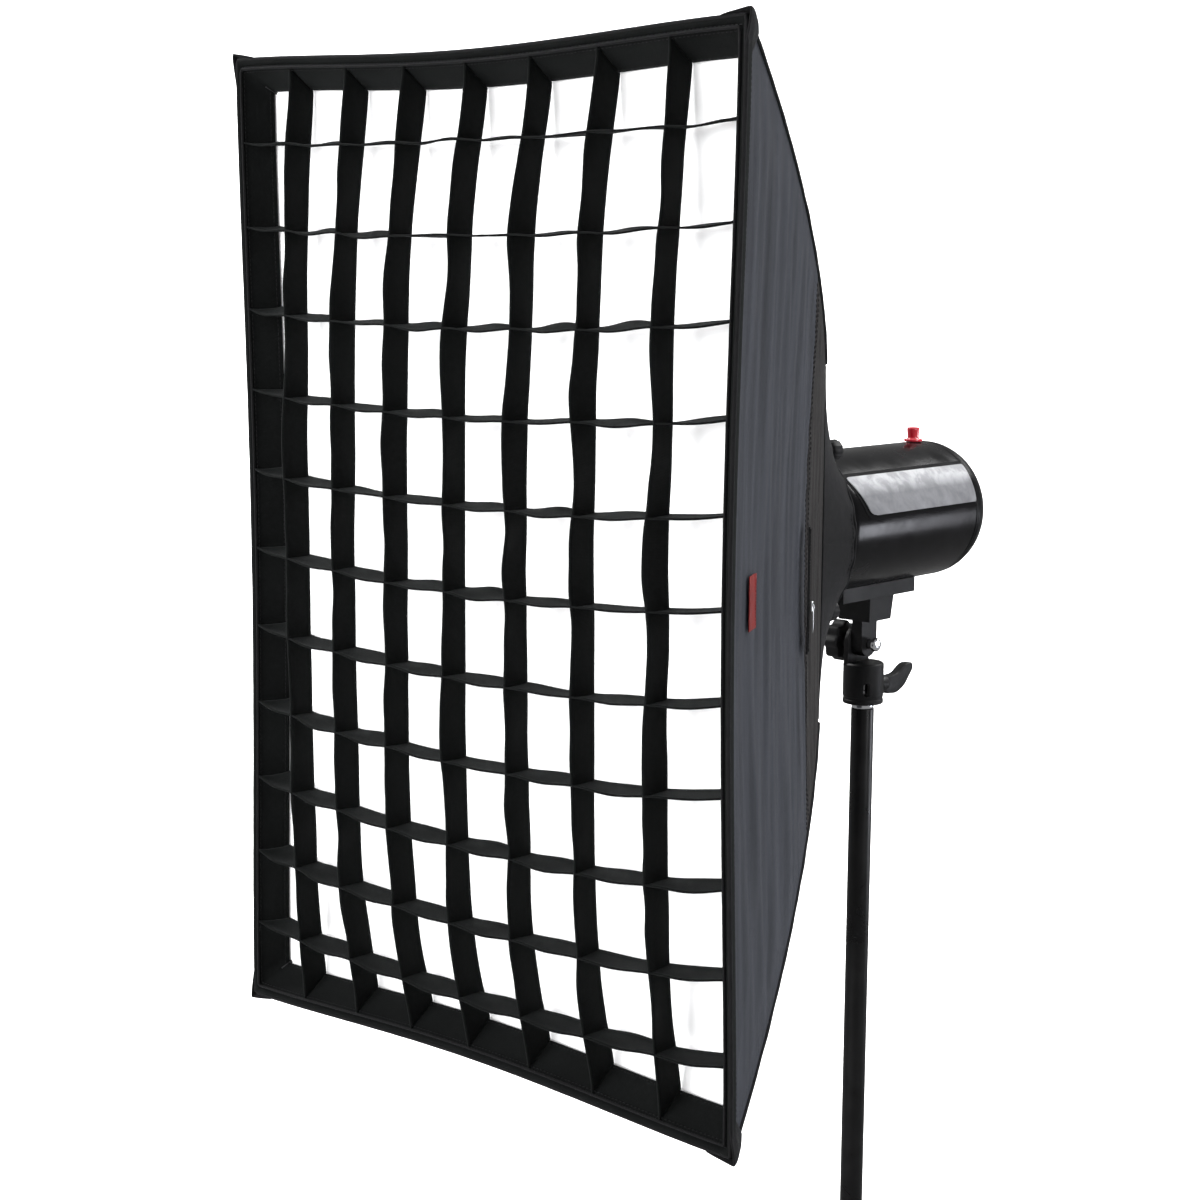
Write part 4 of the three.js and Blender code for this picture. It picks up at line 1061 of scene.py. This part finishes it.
# ---- Stand ----
TUBE_END = AXIS[2] * 1000 - 204 - 6
HEIGHT_LOCK, LEG_LOCK = 574, 210  # heights of the two clamps' knobs
SPIGOT = soften([(0.01, TUBE_END - 45), (10.4, TUBE_END - 45), (10.4, TUBE_END + 0.4),
                 (12, TUBE_END + 0.4), (12, TUBE_END + 5.4),
                 (7.9, TUBE_END + 5.4), (7.9, TUBE_END + 20), (6.9, TUBE_END + 21), (6.9, TUBE_END + 27),
                 (7.9, TUBE_END + 28),
                 (7.9, TUBE_END + 45), (0.01, TUBE_END + 46)], 0.7, 3)
piece(lathe("spigot_stud", SPIGOT, CHROME, "z", steps=64, origin=COLUMN), "spigot")
TOP = rectangle((11, 12.5), (LEG_LOCK, TUBE_END), 0.5)
piece(lathe("top_tube_steel", [*TOP, TOP[0]], TUBE, "z", steps=72, origin=COLUMN), "top_tube")
BASE = rectangle((16, 17.5), (100, 585), 0.5)
piece(lathe("base_tube_steel", [*BASE, BASE[0]], TUBE, "z", steps=80, origin=COLUMN), "base_tube")


def clamp(name, bottom, height, node, narrow):
    wide, body = 17.9, 25.5
    if narrow:
        line = [(wide, bottom), (body, bottom), (body + 1.5, bottom + 6), (body + 1.5, bottom + 42),
                (19, bottom + 50),
                (13, bottom + 50), (13, bottom + 38), (wide, bottom + 38)]
    else:
        line = [(wide, bottom), (body, bottom), (body, bottom + 26), (wide, bottom + 26)]
    ringed = soften(line, 1.3, 4, True)
    sleeve = turned([*ringed, ringed[0]], "z", 72)
    boss = slab(rectangle((-9, 9), (height - 10.5, height + 10.5), 4, 5), 20.5, 34.5, 1.2, "y")
    rib = rounded_box((-1.0, 1.0), (body - 1.0, body + 1.8),
                      (bottom + 4, bottom + (38 if narrow else 22)), 0.5)
    fins = [moved(rib, turn=turn_about("Z", a)) for a in (60, 100, 140, 180, 220, 260, 300)]
    made = made_of(name, [sleeve, boss, *fins], CAST, 35, COLUMN)
    hole = turned([(0.01, 12), (4.5, 12), (4.5, 40), (0.01, 40)], "y", 32)
    bore = made_of("bore", [moved(hole, (0, 0, height))], CAST, None, COLUMN)
    carve(made, bore)
    piece(made, node)


clamp("height_clamp", 555, HEIGHT_LOCK, "height_collar", True)
clamp("leg_clamp", 197, LEG_LOCK, "leg_collar", False)
for name, height, node in (("height_grip", HEIGHT_LOCK, "height_knob"),
                           ("leg_grip", LEG_LOCK, "leg_lock_knob")):
    line = soften([(0.01, 19), (4, 19), (4, 35.5), (8, 35.5), (13, 39.5), (14, 55.5), (11, 59.5),
                   (0.01, 59.5)], 1.2, 4)
    part = turned(line, "y", 108, ribs(line, 0.05, 9, 9))
    piece(build(name, *moved(part, (0, 0, height))[:2], MOULDED, None, part[2], 40, COLUMN), node)
CAP_LINE = soften([(0.01, 94), (20, 94), (24, 98), (24, 99.6), (15.5, 99.6), (15.5, 118),
                   (0.01, 118)], 1.0, 4)
piece(lathe("base_plug", CAP_LINE, MOULDED, "z", steps=64, origin=COLUMN), "base_cap")

SLOPE = math.radians(18)
LEGS = [(124, 30), (153, 150), (182, -90)]
for number, (height, angle) in enumerate(LEGS):
    reach = 60 + (height - 12) / math.tan(SLOPE)
    knee = np.array([60.0, 0, height])
    first, lower = np.array([34.0, 0, height]), knee + 26 * np.array([math.cos(SLOPE), 0, -math.sin(SLOPE)])
    bend = [first * (1 - t) ** 2 + 2 * knee * t * (1 - t) + lower * t * t for t in np.linspace(0, 1, 14)]
    straight = [lower + (np.array([reach, 0, 12.0]) - lower) * t for t in np.linspace(0.05, 1, 12)]
    path = [np.array([22.0, 0, height]), *bend, *straight]
    bar = swept(path, 11, 32)
    ringed = rectangle((18, 27), (height - 14, height + 14), 1.4, 4)
    sleeve = turned([*ringed, ringed[0]], "z", 72)
    weld = turned(soften([(10.8, 24), (13.6, 25), (12.6, 28.5), (10.9, 31)], 0.8, 3), "x", 40)
    turn = turn_about("Z", angle)
    parts = [moved(p, turn=turn) for p in (bar, sleeve, moved(weld, (0, 0, height)))]
    made = made_of(f"leg_{number + 1}_steel", parts, TUBE, 35, COLUMN)
    plug = [(0.01, height - 30), (18.0, height - 30), (18.0, height + 30), (0.01, height + 30)]
    bore = made_of("bore", [turned(plug, "z", 72)], TUBE, None, COLUMN)
    carve(made, bore)
    piece(made, f"leg_{number + 1}")
    cup = soften([(0.01, 5), (10, 5), (13.4, 2.6), (14, 0), (14, -6), (13.2, -7), (14, -8), (14, -14),
                  (13.2, -15), (14, -16), (14, -33),
                  (13.2, -34), (11.4, -34), (11.4, 0.4), (0.01, 0.4)], 0.5, 2)
    tilt = Matrix.Rotation(SLOPE, 4, "Y")
    placed = moved(moved(turned(cup, "x", 56), (reach, 0, 12), tilt), turn=turn)
    placed[0][:, 2] = np.maximum(placed[0][:, 2], 0.0)
    piece(build(f"foot_{number + 1}_rubber", placed[0], placed[1], RUBBER, None, placed[2], 40, COLUMN),
          f"foot_{number + 1}")

# ---- Finishes of the part's own pieces ----
CARRIED = {
    "flex_rod_1": RESIN, "flex_rod_2": RESIN, "flex_rod_3": RESIN, "flex_rod_4": RESIN,
    "speed_ring": CAST, "bayonet_insert": ALLOY, "capacitor_bank": MOULDED, "control_panel": MOULDED,
    "mains_inlet": MOULDED, "mounting_plate": CAST, "tilt_bracket": CAST,
}
for name, finish in CARRIED.items():
    for carried in NODES[name].material_slots:
        carried.material = finish

# ---- Floor, backdrop and light ----
scene = bpy.context.scene
scene.view_settings.view_transform = "Standard"


def backdrop():
    profile = [(a, 0) for a in np.linspace(-14, 4, 73)]
    profile += [(4.0 + 2.5 * math.sin(t), 2.5 - 2.5 * math.cos(t)) for t in np.linspace(0.1, math.pi / 2, 20)]
    profile += [(6.5, h) for h in np.linspace(3, 8, 11)]
    side, up = Vector((math.cos(yaw), math.sin(yaw), 0)), Vector((-math.sin(yaw), math.cos(yaw), 0))
    points = [side * s + up * a + Vector((0, 0, h)) for s in (-14, 14) for a, h in profile]
    count = len(profile)
    faces = [[k, k + 1, count + k + 1, count + k] for k in range(count - 1)]
    mesh = bpy.data.meshes.new("backdrop")
    mesh.from_pydata(points, [], faces)
    mesh.polygons.foreach_set("use_smooth", [True] * len(faces))
    made = bpy.data.objects.new("backdrop", mesh)
    scene.collection.objects.link(made)
    f = Finish("backdrop_paper")
    space = f.place("Object")
    drift = f.noise(space, 0.8, 2)
    mesh.materials.append(f.set(Base_Color=f.ramp(drift, (0.3, (0.93, 0.93, 0.935)),
                                                  (0.7, (0.95, 0.95, 0.95))),
                                Roughness=f.spread(drift, 0.85, 0.95),
                                Normal=f.bump(f.noise(space, 400, 3), 0.1, 0.0002)))
    return made


paper = backdrop()
paper.visible_glossy = False

world = bpy.data.worlds.new("studio")
scene.world = world
world.use_nodes = True
world.node_tree.nodes["Background"].inputs["Color"].default_value = (1, 1, 1, 1)
world.node_tree.nodes["Background"].inputs["Strength"].default_value = 0.3


def panel_light(name, place, target, size, power, colour=(1, 1, 1)):
    data = bpy.data.lights.new(name, "AREA")
    data.shape = "RECTANGLE"
    data.size, data.size_y = size
    data.energy = power
    data.color = colour
    made = bpy.data.objects.new(name, data)
    made.location = place
    made.rotation_euler = (Vector(target) - Vector(place)).to_track_quat("-Z", "Y").to_euler()
    scene.collection.objects.link(made)


panel_light("key_right", (3.4, 0.2, 2.3), (0.1, 0.0, 1.35), (1.0, 2.2), 70, (0.96, 0.975, 1.0))
panel_light("strip_rear", (2.3, 2.7, 0.85), (0.1, 0.3, 1.4), (0.9, 0.7), 26, (0.9, 0.92, 1.0))
panel_light("front_fill", (-0.4, -3.6, 2.0), (0, -0.3, 1.3), (2.6, 2.0), 190)
panel_light("top_soft", (0.3, 0.3, 4.4), (0, 0, 1.2), (2.0, 2.0), 45)
back = Vector((-math.sin(yaw), math.cos(yaw), 0))
wide = Vector((math.cos(yaw), math.sin(yaw), 0))
for number, shift in enumerate((-3.4, 3.4)):
    place = back * 2.2 + wide * shift + Vector((0, 0, 4.8))
    panel_light(f"backdrop_{number + 1}", place, back * 6.2 + wide * shift * 0.25 + Vector((0, 0, 1.4)),
                (2.5, 2.5), 620)
